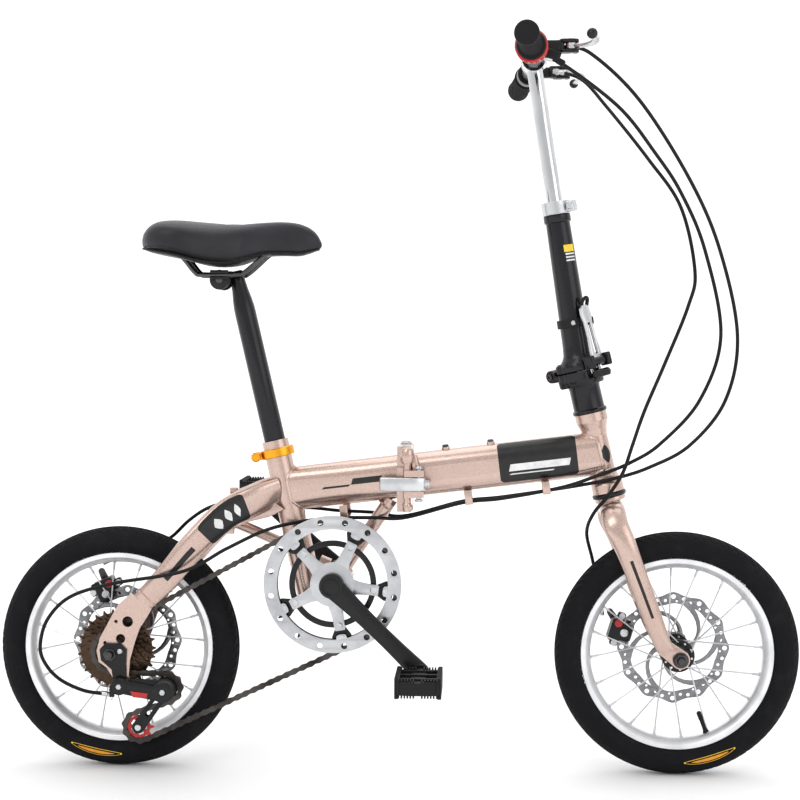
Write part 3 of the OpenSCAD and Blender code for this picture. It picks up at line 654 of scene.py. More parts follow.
def wheel_spokes(name, x, body):
    """Crossed spokes with a bend and a head at the flange, and a nipple at the rim."""
    wires, nipples = Shape(), Shape()
    place = wheel_place(x)
    for i in range(spoke_count):
        side = 1 if i % 2 == 0 else -1
        way = 1 if i // 2 % 2 == 0 else -1
        a = 18 * i + 4
        inside = -1.9 * way
        hub = Vector((*polar(hub_hole_r, a + way * 40), side * (flange_y + inside)))
        head = Vector((hub.x, hub.y, side * (flange_y - inside)))
        end = Vector((*polar(rim_in + 1, a), side * 2))
        d = (end - hub).normalized()
        bend = [head, hub - Vector((0, 0, side * inside * 0.7)), hub + d * 0.6, hub + d * 3]
        wires.sweep([place @ p for p in spline(bend, 3)] + [place @ (end - d * 9)], 1.0, 10)
        wires.lathe([(0, 0), (2.0, 0), (1.7, 0.8), (0, 1.1)], place @ placed(head, head - hub), 14)
        nipples.lathe(
            [(0, 0), (1.2, 0), (1.7, 0.8), (1.7, 9.5), (2.2, 10), (2.2, 12), (0, 12)],
            place @ placed(end - d * 12, d), 12,
        )
    wires.build(name + "_spoke_wires", SILVER, body, "spoke_steel", (name + "_spokes",))
    nipples.build(name + "_nipples", SILVER, body, "spoke_steel")


def wheel_hub(name, x, body, face, disc_y):
    """A black hub shell: flanges drilled for the spokes, a waisted barrel, dust caps and the disc seat."""
    place = wheel_place(x)
    shell = Shape()
    barrel = [
        (5.2, -face + 1), (10.6, -face + 1), (11.6, -face + 2), (11.6, -face + 8), (15, -flange_y - 5),
        (17.5, -flange_y - 1.6), (17.5, -flange_y + 1.6), (14, -flange_y + 5), (12.2, -12), (12.2, 12),
        (14, flange_y - 5), (17.5, flange_y - 1.6), (17.5, flange_y + 1.6), (21.6, disc_y - 9),
        (21.9, disc_y - 8), (21.9, disc_y - 1.6), (21.4, disc_y - 1.1), (10.6, disc_y - 1.1),
        (10.6, face - 1.6), (10, face - 1), (5.2, face - 1),
    ]
    shell.lathe(barrel, place, 56, loop=True)
    for side in (1, -1):
        holes = [circle(1.6, polar(hub_hole_r, 36 * k + 4 + (0 if side > 0 else 18) + s * 4), 10)
                 for k in range(10) for s in (1, -1)]
        shell.plate([circle(flange_r, steps=56), circle(11, steps=40)] + holes[::2], 3.0,
                    place @ Matrix.Translation((0, 0, side * flange_y)), 0.5)
    shell.build(name + "_hub_shell", BLACK, body, "black_alloy", (name + "_hub",))


def rotor(name, x, body, y):
    """A brake disc with a waved edge, swept arms, two rows of holes and its six bolts."""
    place = wheel_place(x) @ Matrix.Translation((0, 0, y))
    waves = 12
    steel = Shape()
    def edge(r, depth, phase, steps=240):
        return [
            polar(r - depth * (0.5 - 0.5 * math.cos(math.radians(waves * (360 * i / steps - phase)))) ** 0.8,
                  360 * i / steps)
            for i in range(steps)
        ]
    holes = []
    for k in range(waves):
        a = 30 * k
        holes += [circle(3.4, polar(73.4, a), 18), circle(2.2, polar(68.6, a + 9.5), 14),
                  circle(2.6, polar(71.6, a + 18), 14), circle(1.7, polar(66.9, a - 4), 10)]
    steel.plate([edge(disc_r, 4.4, 0), edge(62.2, -1.6, 12)[::-1]] + holes, 2.0, place, 0.25)
    for k in range(6):
        arm = []
        for i in range(11):
            s = i / 10
            arm.append(Vector((*polar(18 + 48 * s, 60 * k + 74 * s ** 1.25), 0)))
        left, right = [], []
        for i, p in enumerate(arm):
            d = (arm[min(i + 1, 10)] - arm[max(i - 1, 0)]).normalized()
            n = Vector((-d.y, d.x, 0)) * (4.6 - 2.0 * math.sin(math.pi * i / 10))
            left.append((p + n)[:2])
            right.append((p - n)[:2])
        steel.plate([left + right[::-1]], 1.8, place, 0.2)
    inner = [polar(24.5 - (1.8 if i % 8 in (3, 4, 5) else 0), 7.5 * i) for i in range(48)]
    steel.plate([inner, circle(13, steps=32)] + [circle(2.4, polar(19, 60 * k + 15), 12) for k in range(6)],
                1.9, place, 0.2)
    steel.build(name + "_disc", DISC, body, "disc_steel", (name + "_rotor",))
    bolts = Shape()
    for k in range(6):
        bolts.lathe(
            [(0, 1.0), (1.3, 1.0), (1.4, 2.2), (2.6, 3.3), (3.9, 2.2), (4.1, 0.6), (0, 0.6)],
            place @ Matrix.Translation((*polar(19, 60 * k), 0)), 18,
        )
    bolts.build(name + "_disc_bolts", STEEL, body, "steel")


def wheel_axle(name, x, body, face, nut):
    """A threaded axle with locknuts, washers and the two axle nuts."""
    place = wheel_place(x)
    metal_parts = Shape()
    reach = face + nut + 15
    turns = int(reach)
    profile = [(0, -reach)] + [
        (4.9 - 0.35 * (k % 2),
         -reach + 0.6 + (2 * reach - 1.2) * k / (2 * turns)) for k in range(2 * turns + 1)
    ] + [(0, reach)]
    metal_parts.lathe(profile, place, 14)
    for s in (1, -1):
        seat = place @ Matrix.Translation((0, 0, s * (face + nut)))
        flip = seat if s > 0 else seat @ Matrix.Rotation(math.pi, 4, "X")
        metal_parts.lathe([(5, 0), (11, 0), (11, 1.4), (5, 1.4)], flip, 32, loop=True)
        metal_parts.plate([[polar(9.3, 60 * k + 8) for k in range(6)], circle(4.9, steps=20)], 6.4,
                          flip @ Matrix.Translation((0, 0, 4.7)), 0.7)
    metal_parts.build(name + "_axle_nuts", DARK, body, "steel", (name + "_axle",))


for wheel, x, holder, face, disc_y, valve_at, mark in (
    ("front", wheel_x, "fork", 50, 38, -69, -72), ("rear", -wheel_x, "rear_frame", 54, 45, 54, -102),
):
    spin = wheel + "_wheel"
    tyre(wheel, x, spin)
    for side in (-1, 1):
        tyre_marks(wheel, x, spin, mark, side)
    rim(wheel, x, spin, valve_at)
    wheel_spokes(wheel, x, spin)
    wheel_hub(wheel, x, spin, face, disc_y)
    rotor(wheel, x, spin, disc_y)
    wheel_axle(wheel, x, holder, 50 if wheel == "front" else 60, 6)


# ---------------------------------------------------------------- disc brakes

arm_r = 76


def brake(name, x, disc_y, angle, swing, holder, arm_body):
    """A mechanical caliper: two halves over the disc, pads, bolts, an adjuster and the pulled arm."""
    place = wheel_place(x) @ Matrix.Rotation(math.radians(angle - 90), 4, "Z")
    body, fixing, accent = Shape(), Shape(), Shape()
    outer = [(-17, 64), (-10, 60.5), (10, 60.5), (17, 64), (17.5, 80), (13, 95), (-13, 95), (-17.5, 80)]
    body.plate([outer], 15.4, place @ Matrix.Translation((0, 0, disc_y + 11)), 2.2)
    inner = [(-12, 66), (-8, 63.5), (8, 63.5), (12, 66), (12.5, 82), (9, 95), (-9, 95), (-12.5, 82)]
    body.plate([inner], 6.8, place @ Matrix.Translation((0, 0, disc_y - 6.5)), 1.6)
    body.block((32, 9, 28), place @ Matrix.Translation((0, 90, disc_y + 4.5)), 2.5)
    for s in (-1, 1):
        body.block((9, 12, 12), place @ Matrix.Translation((s * 20, 82, disc_y + 12)), 3)
        fixing.lathe([(0, 0), (2.2, 0), (2.4, -1.6), (4.4, -1.6), (4.6, 3), (0, 3)],
                     place @ Matrix.Translation((s * 20, 82, disc_y + 6)) @ Matrix.Rotation(math.pi, 4, "X"),
                     18)
        body.block((20, 15, 1.6), place @ Matrix.Translation((0, 74, disc_y + s * 2.0)), 3)
    knob = [(0, 0)] + [(5.4 - 0.4 * (k % 2), 0.4 + 0.5 * k) for k in range(9)] + [(4, 4.8), (0, 4.8)]
    accent.lathe(knob, place @ Matrix.Translation((11, 86, disc_y - 9.8)) @ Matrix.Rotation(math.pi, 4, "X"),
                 24)
    fixing.lathe([(0, 0), (5.6, 0), (5.6, 1.4), (4.4, 2.2), (2.4, 2.2), (2.2, 1), (0, 1)],
                 place @ Matrix.Translation((0, 74, disc_y - 9.8)) @ Matrix.Rotation(math.pi, 4, "X"), 24)
    body.build(name + "_caliper_body", BLACK, holder, "black_alloy", (name + "_caliper",))
    fixing.build(name + "_caliper_bolts", SILVER, holder, "steel")
    accent.build(name + "_caliper_adjuster", RED, holder, "red_plastic")
    turn = place @ Matrix.Translation((0, arm_r, disc_y + 21.4)) @ Matrix.Rotation(math.radians(swing), 4,
        "Z")
    arm = Shape()
    arm.plate([slot_2d((0, 0), (0, 30), 7, 4.6), circle(1.6, (0, 16), 12)], 3.6, turn, 0.6)
    arm.lathe([(0, -1), (4.8, -1), (4.8, 3.4), (3.8, 4.2), (0, 4.2)], turn, 6)
    arm.lathe([(0, -3), (4.2, -3), (4.2, 3.0), (2.6, 4.6), (0, 4.6)], turn @ Matrix.Translation((0, 30, 0)),
              16)
    arm.build(name + "_caliper_lever", DARK, arm_body, "steel", (name + "_caliper_arm",))


brake("front", wheel_x, 38, 163, -40, "fork", "front_arm")
brake("rear", -wheel_x, 45, 114, 0, "rear_frame", "rear_arm")


# ---------------------------------------------------------------- drive

pitch = 12.7
chain_y = -50.0
bb = pivot("crank_spin")
right_end = pivot("pedal_right_spin")
left_end = pivot("pedal_left_spin")
upper = pivot("upper_pulley_spin")
lower = pivot("lower_pulley_spin")
hanger = Vector((-382, 0, 128))
ring_teeth, cog_teeth, pulley_teeth = 44, 14, 10
spider_angles = (64.2, -7, -80, -153, 134)
guard_r = 96


def pitch_r(teeth):
    return pitch / 2 / math.sin(math.pi / teeth)


def side_frame(p, y=0.0):
    """A frame in the side view: angles are counted from +X up to +Z, and its +Z is along +Y."""
    return Matrix.Translation((p[0], y, p[2])) @ Matrix(((1, 0, 0, 0), (0, 0, 1, 0), (0, 1, 0, 0),
                                                         (0, 0, 0, 1)))


def toothed(teeth, root, tip, start=0.0):
    """The outline of a sprocket: round valleys between narrow teeth."""
    loop = []
    step = 360 / teeth
    for k in range(teeth):
        for share, r in ((-0.34, root), (-0.24, root + 0.2), (-0.13, root + 0.55 * (tip - root)),
                         (-0.05, tip), (0.05, tip), (0.13, root + 0.55 * (tip - root)),
                         (0.24, root + 0.2), (0.34, root)):
            loop.append(polar(r, start + step * (k + share)))
    return loop


def chain_circles():
    return [(bb, pitch_r(ring_teeth)), (Vector((-wheel_x, 0, wheel_z)), pitch_r(cog_teeth)),
            (upper, -pitch_r(pulley_teeth)), (lower, pitch_r(pulley_teeth))]


def chain_path():
    """The pitch line of the chain: arcs round the four toothed pieces, and the runs between them."""
    circles = chain_circles()

    def heading(a, b):
        v = b[0] - a[0]
        return math.degrees(math.atan2(v.z, v.x)) - math.degrees(math.asin((b[1] - a[1]) / v.length))

    path = []
    for i in range(4):
        here = circles[i]
        start, stop = heading(circles[i - 1], here), heading(here, circles[(i + 1) % 4])
        span = (stop - start + 720) % 360 if here[1] > 0 else -((start - stop + 720) % 360)
        steps = max(6, int(abs(span) / 3))
        for k in range(steps + 1):
            t = math.radians(start + span * k / steps)
            path.append(Vector((here[0].x + here[1] * math.sin(t), 0, here[0].z - here[1] * math.cos(t))))
    return path


def along_loop(path, count):
    """Points a fixed distance apart along a closed path."""
    lengths = [(path[(i + 1) % len(path)] - p).length for i, p in enumerate(path)]
    step, points = sum(lengths) / count, []
    i, done = 0, 0.0
    for k in range(count):
        goal = k * step
        while done + lengths[i] < goal:
            done += lengths[i]
            i += 1
        share = (goal - done) / max(lengths[i], 1e-9)
        points.append(path[i].lerp(path[(i + 1) % len(path)], share))
    return points


def chain():
    """A link chain: inner and outer plates in turn, with rollers and riveted pins."""
    path = chain_path()
    length = sum((path[(i + 1) % len(path)] - p).length for i, p in enumerate(path))
    count = 2 * round(length / pitch / 2)
    pins = along_loop(path, count)
    links, rollers = Shape(), Shape()
    for i, p in enumerate(pins):
        q = pins[(i + 1) % count]
        d = q - p
        inner = i % 2 == 0
        waist = 2.5 if inner else 2.9
        loop = []
        for end, turn in (((0, 0), 90), ((d.length, 0), -90)):
            for k in range(7):
                a = math.radians(turn + 30 * k)
                loop.append((end[0] + 4.1 * math.cos(a), end[1] + 4.1 * math.sin(a)))
            loop.append((d.length / 2, waist if turn < 0 else -waist))
        place = side_frame(p, chain_y) @ Matrix.Rotation(math.atan2(d.z, d.x), 4, "Z")
        for s in (-1, 1):
            y = s * (2.0 if inner else 2.95)
            front = [Vector((x, z, y - 0.4)) for x, z in loop]
            back = [Vector((x, z, y + 0.4)) for x, z in loop]
            links.skin([front, back], place=place)
        rollers.lathe([(0, -3.6), (1.8, -3.6), (1.8, -3.3), (1.7, -1.6), (3.9, -1.6), (3.9, 1.6), (1.7, 1.6),
                       (1.8, 3.3), (1.8, 3.6), (0, 3.6)], side_frame(p, chain_y), 12)
    links.build("chain_links", CHAIN, "rear_frame", "chain_steel", ("chain",))
    rollers.build("chain_rollers", CHAIN, "rear_frame", "chain_steel")


def freewheel():
    """Seven toothed sprockets on a drum, with spacers, a lock ring and relief holes in the large ones."""
    place = Matrix.Translation((-wheel_x, 0, wheel_z))
    shape, drum = Shape(), Shape()
    for i in range(7):
        y = chain_y + (1.4 + 3.4 * i if i else 0)
        tip = pitch_r(cog_teeth) + (2.0 if i == 0 else 4.9 * i - 1.4)
        teeth = round(2 * math.pi * (tip - 2) / pitch)
        root = tip - (5.2 if i else 5.6)
        holes = [circle(15, steps=32)]
        if i > 2:
            inner = 15 + 5.5 * (i - 2)
            holes += [circle(1.6 + 0.3 * i, polar(min(root - 5, inner + 6), 360 * k / 8 + 12 * i),
                             12) for k in range(8)]
        shape.plate([toothed(teeth, root, tip, 7 * i)] + holes, 1.8,
                    place @ side_frame((0, 0, 0), y), 0.25)
    shape.build("sprockets", COG, "freewheel_cluster", "chain_steel", ("freewheel",), sharp=26)
    profile = [(13.2, -53.6), (17, -53.6), (19.4, -52.8), (19.8, -51.4)]
    for i in range(7):
        y = chain_y + (1.4 + 3.4 * i if i else 0)
        profile += [(19.8, y), (19.8, y + 1.1), (18.6, y + 1.3), (18.6, y + 2.1)]
    profile += [(19.8, -27.9), (13.2, -27.9)]
    drum.lathe(profile, place @ side_frame((0, 0, 0)), 48, loop=True)
    for k in range(4):
        drum.block((3, 5, 1.6), place @ side_frame((0, 0, 0), -53.4) @ Matrix.Rotation(math.pi / 2 * k, 4,
            "Z")
                   @ Matrix.Translation((15.8, 0, 0)), 1)
    drum.build("freewheel_drum", DARK, "freewheel_cluster", "chain_steel")


def pulley(name, at, body):
    """A jockey wheel with short teeth, cut-outs and a bushed centre."""
    place = side_frame(at, chain_y)
    r = pitch_r(pulley_teeth)
    wheel = Shape()
    windows = [slot_2d(polar(10.4, 72 * k - 14), polar(10.4, 72 * k + 14), 1.7, 1.7, 5) for k in range(5)]
    wheel.plate([toothed(pulley_teeth, r - 4.4, r + 1.4), circle(5.2, steps=24)] + windows, 3, place, 0.4)
    wheel.lathe([(2.7, -4.8), (5.6, -4.8), (6, -4.2), (6, 2.6), (5.6, 3.0), (2.7, 3.0)], place, 28, loop=True)
    wheel.build(name + "_jockey_wheel", RED if name == "lower" else PLASTIC, body, "red_plastic",
                (name + "_pulley",))


def sector(low, high, start, stop, steps=16):
    """A piece of a flat ring."""
    out = [polar(high, start + (stop - start) * i / steps) for i in range(steps + 1)]
    return out + [polar(low, stop - (stop - start) * i / steps) for i in range(steps + 1)]


def chainset():
    """Chainring, guard ring, spider, lugs and their bolts."""
    place = side_frame(bb)
    ring = Shape()
    r = pitch_r(ring_teeth)
    ring.plate([toothed(ring_teeth, r - 4.6, r + 1.8), circle(77, steps=96)], 2.6,
               place @ Matrix.Translation((0, 0, chain_y)), 0.3)
    for a in spider_angles:
        ring.plate([sector(74, 79, a - 7, a + 7, 6)], 2.4, place @ Matrix.Translation((0, 0, chain_y)), 0.2)
    inner = place @ Matrix.Translation((0, 0, chain_y - 2.2))
    ring.plate([circle(61, steps=80), circle(53, steps=80)], 2.8, inner, 0.5)
    for a in spider_angles:
        for s in (-1, 1):
            ring.plate([slot_2d(polar(58, a), polar(75, a + s * 8), 4.4, 3.4, 6)], 3.0, inner, 0.4)
        ring.plate([slot_2d(polar(56, a), polar(68, a), 7.5, 5.5, 6)], 3.4, inner, 0.5)
    ring.build("chainring_teeth", BLACK, "crankset", "black_metal", ("chainring",), sharp=28)
    guard = Shape()
    holes = [circle(4, polar(87.5, 22.5 * k + 11), 20) for k in range(16)]
    guard.plate([circle(guard_r, steps=128), circle(77, steps=112)] + holes, 3,
                place @ Matrix.Translation((0, 0, chain_y - 7.5)), 0.9)
    for a in spider_angles:
        tab = [polar(78.5, a - 6), polar(72.5, a - 5.4), polar(70.8, a - 3.4), polar(70.4, a),
               polar(70.8, a + 3.4), polar(72.5, a + 5.4), polar(78.5, a + 6)]
        guard.plate([tab], 2.6, place @ Matrix.Translation((0, 0, chain_y - 7.4)), 0.5)
    guard.build("guard_ring", GUARD, "crankset", "silver_alloy", ("chainguard",), sharp=28)
    star, bolts = Shape(), Shape()
    for a in spider_angles:
        arm = []
        for s in (-1, 1):
            side = [polar(26, a + s * 33), polar(31, a + s * 21), polar(38, a + s * 13.5),
                    polar(50, a + s * 9.0),
                    polar(62, a + s * 7.2), polar(65.5, a + s * 5.8)]
            arm += side if s < 0 else side[::-1]
        star.plate([arm], 4.4, place @ Matrix.Translation((0, 0, chain_y - 8.2)), 1.1)
        bolts.lathe([(0, 0), (4.6, 0), (4.6, -1.2), (3.6, -2), (2.0, -2), (1.8, -1.0), (0, -1.0)],
                    place @ Matrix.Translation((*polar(58, a), chain_y - 10.2)), 20)
        bolts.lathe([(0, 0), (2.9, 0), (2.9, -0.9), (1.4, -1.1), (0, -0.5)],
                    place @ Matrix.Translation((*polar(74.2, a), chain_y - 8.6)), 16)
    star.plate([circle(31, steps=56)], 4.6, place @ Matrix.Translation((0, 0, chain_y - 8.2)), 0.8)
    star.build("spider_star", GUARD, "crankset", "silver_alloy", sharp=28)
    bolts.build("chainring_bolts", SILVER, "crankset", "steel")


def crank(side, name, foot, replaced):
    """A forged crank arm: a round boss with its bolt cap, a waisted arm and the pedal eye."""
    start = Vector((bb.x, side * 70.5, bb.z))
    end = Vector((foot.x, side * 85, foot.z))
    d = end - start
    flat = Vector((d.x, 0, d.z)).normalized()
    wide = Vector((-flat.z, 0, flat.x))
    rings = []
    stations = 18
    for i in range(stations + 1):
        s = i / stations
        reach = -15.5 + (Vector((d.x, 0, d.z)).length + 15.5 + 12) * s
        share = min(1, max(0, reach / Vector((d.x, 0, d.z)).length))
        half = 13.2 - 2.2 * math.sin(math.pi * min(1, share * 1.05)) ** 0.8 + 3.2 * (1 - share) ** 3
        near = 1 - max(0, -reach / 15.6) ** 2
        far = 1 - max(0, (reach - Vector((d.x, 0, d.z)).length) / 12.1) ** 2
        half *= math.sqrt(max(0.02, near)) * math.sqrt(max(0.02, far))
        thick = 6.2 - 0.8 * math.sin(math.pi * share)
        centre = start + flat * reach + Y * (d.y * share ** 1.15)
        ring = []
        for k in range(24):
            t = 2 * math.pi * k / 24
            c, v = math.cos(t), math.sin(t)
            x = math.copysign(abs(c) ** 0.55, c) * half
            y = math.copysign(abs(v) ** 0.6, v) * thick
            ring.append(centre + wide * x + Y * y)
        rings.append(ring)
    arm = Shape().skin(rings)
    place = side_frame(bb) @ Matrix.Rotation(0 if side > 0 else math.pi, 4, "X")
    base = [(8.6, 50.5), (14, 50.5), (16.8, 53), (17.2, 64), (17.2, 76), (16, 77.8), (12.5, 78)]
    arm.lathe(base + [(12.2, 77), (11.4, 76.6), (8.6, 76.6)], place, 40, loop=True)
    arm.lathe([(0, 77.4), (7, 77.4), (10.4, 76.9), (11.2, 75.6), (11.2, 74), (0, 74)], place, 32)
    eye = side_frame(foot) @ Matrix.Rotation(0 if side > 0 else math.pi, 4, "X")
    arm.lathe([(4.6, 78.6), (11.4, 78.6), (12.6, 80), (12.8, 90), (11.6, 91.8), (4.6, 91.8)], eye, 36,
              loop=True)
    arm.build(name + "_arm", BLACK, "crankset", "black_alloy", (replaced,))
    axle = Shape()
    axle.lathe([(0, 77.2), (4.6, 77.2), (4.4, 92), (7.6, 92), (7.6, 96), (6, 97), (4.4, 98), (4.4, 194.4),
                (3.6, 195.6), (0, 195.8)], eye, 24)
    axle.plate([[polar(8.4, 60 * k) for k in range(6)]], 5, eye @ Matrix.Translation((0, 0, 96)), 0.8)
    if side < 0:
        axle.lathe([(0, -48), (8.4, -48), (8.4, 58), (7.4, 62), (0, 62)],
                   side_frame(bb) @ Matrix.Rotation(math.pi, 4, "X"), 28)
    axle.build(name + "_pedal_axle", DARK, "crankset", "steel")


def pedal(side, name, at, body, replaced):
    """A block pedal: a moulded cage with three windows each side, ribbed tread bars and a curved outer end."""
    shape = Shape()
    middle_y, half_w, half_l = side * 150, 31, 46
    outline = []
    for sx, sy in ((1, 1), (-1, 1), (-1, -1), (1, -1)):
        bulge = 3.0 if sy * side > 0 else 0
        corner = [(sx * half_w, sy * (half_l - 7 - bulge)), (sx * (half_w - 2), sy * (half_l - 3 - bulge)),
                  (sx * (half_w - 8), sy * (half_l - bulge * 0.5)), (sx * 8, sy * half_l)]
        outline += corner if sx * sy > 0 else corner[::-1]
    outline = [(x, y + middle_y) for x, y in outline]
    windows = [rounded(16.5, 19, 3, (k * 18, middle_y + j * 27)) for k in (-1, 1) for j in (-1, 0, 1)]
    place = Matrix.Translation((at.x, 0, at.z))
    shape.plate([outline] + windows, 17, place, 1.4)
    for k in (-1, 1):
        for n in range(15):
            y = middle_y - 39 + 78 * n / 14
            shape.block((5.2, 3.0, 27.6), place @ Matrix.Translation((k * 28.2, y, 0)), 1.0, 2)
        for z in (-1, 1):
            shape.block((3.2, 84, 4.0), place @ Matrix.Translation((k * 26.4, middle_y, z * 10.5)), 1.2, 2)
        for n in range(6):
            x = k * (5.6 + 3.9 * n)
            for e in (-1, 1):
                shape.block((2.0, 8.5, 24), place @ Matrix.Translation((x, middle_y + e * 40.2, 0)), 0.8, 2)
    for z in (-1, 1):
        for j in (-1, 0, 1):
            shape.block((44, 2.6, 3.0), place @ Matrix.Translation((0, middle_y + j * 27, z * 9.4)), 1.0, 2)
    barrel = side_frame(at)
    shape.lathe([(4.6, middle_y - 44), (8.4, middle_y - 44), (8.6, middle_y - 42), (8.6, middle_y + 42),
                 (8.4, middle_y + 44), (4.6, middle_y + 44)], barrel, 28, loop=True)
    shape.build(name + "_block", PLASTIC, body, "black_plastic", (replaced,))
    cap = Shape()
    end = middle_y + side * 45.4
    cap.lathe([(0, end), (7.6, end), (7.6, end - side * 3), (0, end - side * 3)], barrel, 28)
    cap.build(name + "_dust_cap", DARK, body, "black_plastic")


def derailleur():
    """A derailleur: hanger bracket, linkage body with a red flash, spring drum and the pulley cage."""
    body, bright, flash = Shape(), Shape(), Shape()
    flat = lambda y: side_frame((0, 0, 0), y)
    body.lathe([(0, -80), (6, -80), (10.6, -79), (12.2, -77), (12.2, -68), (10, -66.5), (0, -66.5)],
               side_frame(hanger), 36)
    body.lathe([(0, -67), (4, -67), (4, -61.4), (0, -61.4)], side_frame(hanger), 20)
    body.plate([slot_2d((hanger.x, hanger.z), (upper.x, upper.z), 11, 15.5, 14)], 5.0, flat(-70.5), 1.6)
    body.plate([slot_2d((hanger.x + 3, hanger.z + 2), (upper.x - 6, upper.z - 3), 8, 10, 12)], 5.0, flat(-76),
               1.8)
    body.plate([[(-392, 136), (-374, 139), (-360, 133), (-366, 119), (-384, 116), (-397, 122)]], 6, flat(-74),
               2)
    drum = [(0, -81), (4, -81), (5, -79.6), (12.8, -79.4), (15, -78), (15.6, -75)]
    for k in range(5):
        drum += [(15.6, -74.4 + 2.6 * k), (14.6, -73.6 + 2.6 * k), (15.6, -72.6 + 2.6 * k)]
    drum += [(15.4, -61), (14, -60.2), (0, -60.2)]
    body.lathe(drum, side_frame(upper), 44)
    bright.lathe([(0, -82.4), (3.4, -82.4), (4.4, -81.4), (4.4, -79.6), (0, -79.6)], side_frame(upper), 6)
    bright.lathe([(0, -82), (3.4, -82), (4.2, -81), (4.2, -78.4), (0, -78.4)], side_frame(hanger), 6)
    flash.plate([[(-366, 122.2), (-341, 119.4), (-343, 112.2), (-362, 113.8)]], 1.6, flat(-79), 0.5)
    for y in (-56.9, -45.0):
        body.plate([slot_2d((upper.x, upper.z), (lower.x, lower.z), 8.4, 8.8, 14),
                    slot_2d((-332, 106), (-347, 84), 2.6, 2.6, 6)], 1.6, flat(y), 0.4)
    for at in (upper, lower):
        bright.lathe([(0, -60.4), (3.8, -60.4), (4.4, -59.8), (4.4, -58.2), (2.4, -57.6), (2.4, -44.2),
                      (0, -44.2)],
                     side_frame(at), 20)
    body.block((7, 5, 16), Matrix.Translation((-392, -76, 121)), 2)
    for k in (0, 1):
        bright.lathe([(0, 0), (2.4, 0), (2.4, 2.4), (0, 2.4)],
                     placed((-398 + 7 * k, -77, 118 - 6 * k), Vector((-1, 0, -0.2))), 14)
    barrel = placed((-401, -72, 116.8), Vector((-1, -0.1, 0.12)))
    bright.lathe([(0, 0)] + [(3.6 - 0.4 * (k % 2), 0.5 + 0.8 * k) for k in range(10)] + [(2.6, 9), (2.6, 13),
        (0, 13)],
                 barrel, 18)
    body.build("derailleur_body", BLACK, "rear_frame", "black_metal", ("derailleur",))
    bright.build("derailleur_bolts", SILVER, "rear_frame", "steel")
    flash.build("derailleur_flash", RED, "rear_frame", "red_plastic")


chain()
freewheel()
pulley("upper", upper, "upper_pulley_body")
pulley("lower", lower, "lower_pulley_body")
chainset()
crank(-1, "right_crank", right_end, "crank_right")
crank(1, "left_crank", left_end, "crank_left")
pedal(-1, "right_pedal", right_end, "pedal_right_body", "pedal_right")
pedal(1, "left_pedal", left_end, "pedal_left_body", "pedal_left")
derailleur()


# ---------------------------------------------------------------- frame

tube_mid = Vector((11.5, 0, 419))
tube_rise = math.radians(7)
tube_along = Vector((math.cos(tube_rise), 0, math.sin(tube_rise)))
tube_up = Vector((-math.sin(tube_rise), 0, math.cos(tube_rise)))
tube_half_w, tube_flat = 21, 10
head_mid = Vector((285.7, 0, 454.3))
head_up = -axis_of("steering")
seat_up = axis_of("seat_height")
seat_top = Vector((-174, 0, 468))
fold = pivot("frame_fold")
latch = pivot("frame_latch_swing")


class Limb:
    """A tube of changing section. Each station is (x, y, z, half of its height, half of its width)."""

    def __init__(self, stations, up, power=0.8, steps=6):
        self.rows = spline(stations, steps)
        self.up, self.power = Vector(up), power

    def point(self, share, degrees, lift=0.0):
        """A point of the skin: 0 degrees is up, 90 is towards the limb's own side."""
        last = len(self.rows) - 1
        i = min(last - 1, int(share * last))
        row = self.rows[i].lerp(self.rows[i + 1], share * last - i)
        lead = self.rows[min(last, i + 2)] - self.rows[max(0, i - 1)]
        d = Vector(lead[:3]).normalized()
        u = (self.up - self.up.dot(d) * d).normalized()
        v = d.cross(u)
        t = math.radians(degrees)
        c = math.copysign(abs(math.cos(t)) ** self.power, math.cos(t))
        s = math.copysign(abs(math.sin(t)) ** self.power, math.sin(t))
        return Vector(row[:3]) + u * (row[3] + lift) * c + v * (row[4] + lift) * s

    def skin(self, around=36):
        steps = len(self.rows) - 1
        return Shape().skin([
            [self.point(i / steps, 360 * k / around) for k in range(around)] for i in range(steps + 1)
        ])


def patch(point, corner=0.0, across=14, along=24, lift=0.3):
    """A thin film. point(a, b, lift) gives the surface for a and b from 0 to 1."""
    rings = []
    for i in range(along + 1):
        a = i / along
        reach = min(a, 1 - a)
        cut = corner * (1 - math.sqrt(max(0, 1 - (1 - min(1, reach / max(corner,
            1e-6))) ** 2))) if corner else 0
        row = [cut + (1 - 2 * cut) * k / across for k in range(across + 1)]
        rings.append([point(a, b, lift) for b in row] + [point(a, b, -0.2) for b in reversed(row)])
    return Shape().skin(rings)


def tube_skin(side, s, e, lift):
    """A point of the main tube: s along it, and e round it from the middle of its flat side."""
    bend = max(0.0, abs(e) - tube_flat) / tube_half_w
    y = (tube_half_w + lift) * math.cos(bend)
    z = math.copysign(min(abs(e), tube_flat) + (tube_half_w + lift) * math.sin(bend), e)
    return tube_mid + tube_along * s + Y * (side * y) + tube_up * z


def bead(path, r=2.1):
    """A weld: a rippled ridge along a closed path."""
    path = [Vector(p) for p in path]
    rings, n = [], len(path)
    for i, p in enumerate(path):
        d = (path[(i + 1) % n] - path[i - 1]).normalized()
        u = (Y.cross(d) if abs(d.y) < 0.9 else Z.cross(d)).normalized()
        v = d.cross(u)
        size = r * (1 + 0.10 * math.cos(2 * math.pi * i / 3))
        rings.append([p + size * (math.cos(t) * u + math.sin(t) * v)
                      for t in (2 * math.pi * k / 8 for k in range(8))])
    return rings


def meets(p, d, at, along, r):
    """Where the line from p along d first meets a round tube, or comes nearest to its axis."""
    w = (p - at) - (p - at).dot(along) * along
    e = d - d.dot(along) * along
    a, b, c = e.dot(e), 2 * w.dot(e), w.dot(w) - r * r
    return p + d * ((-b - math.sqrt(max(0.0, b * b - 4 * a * c))) / (2 * a))


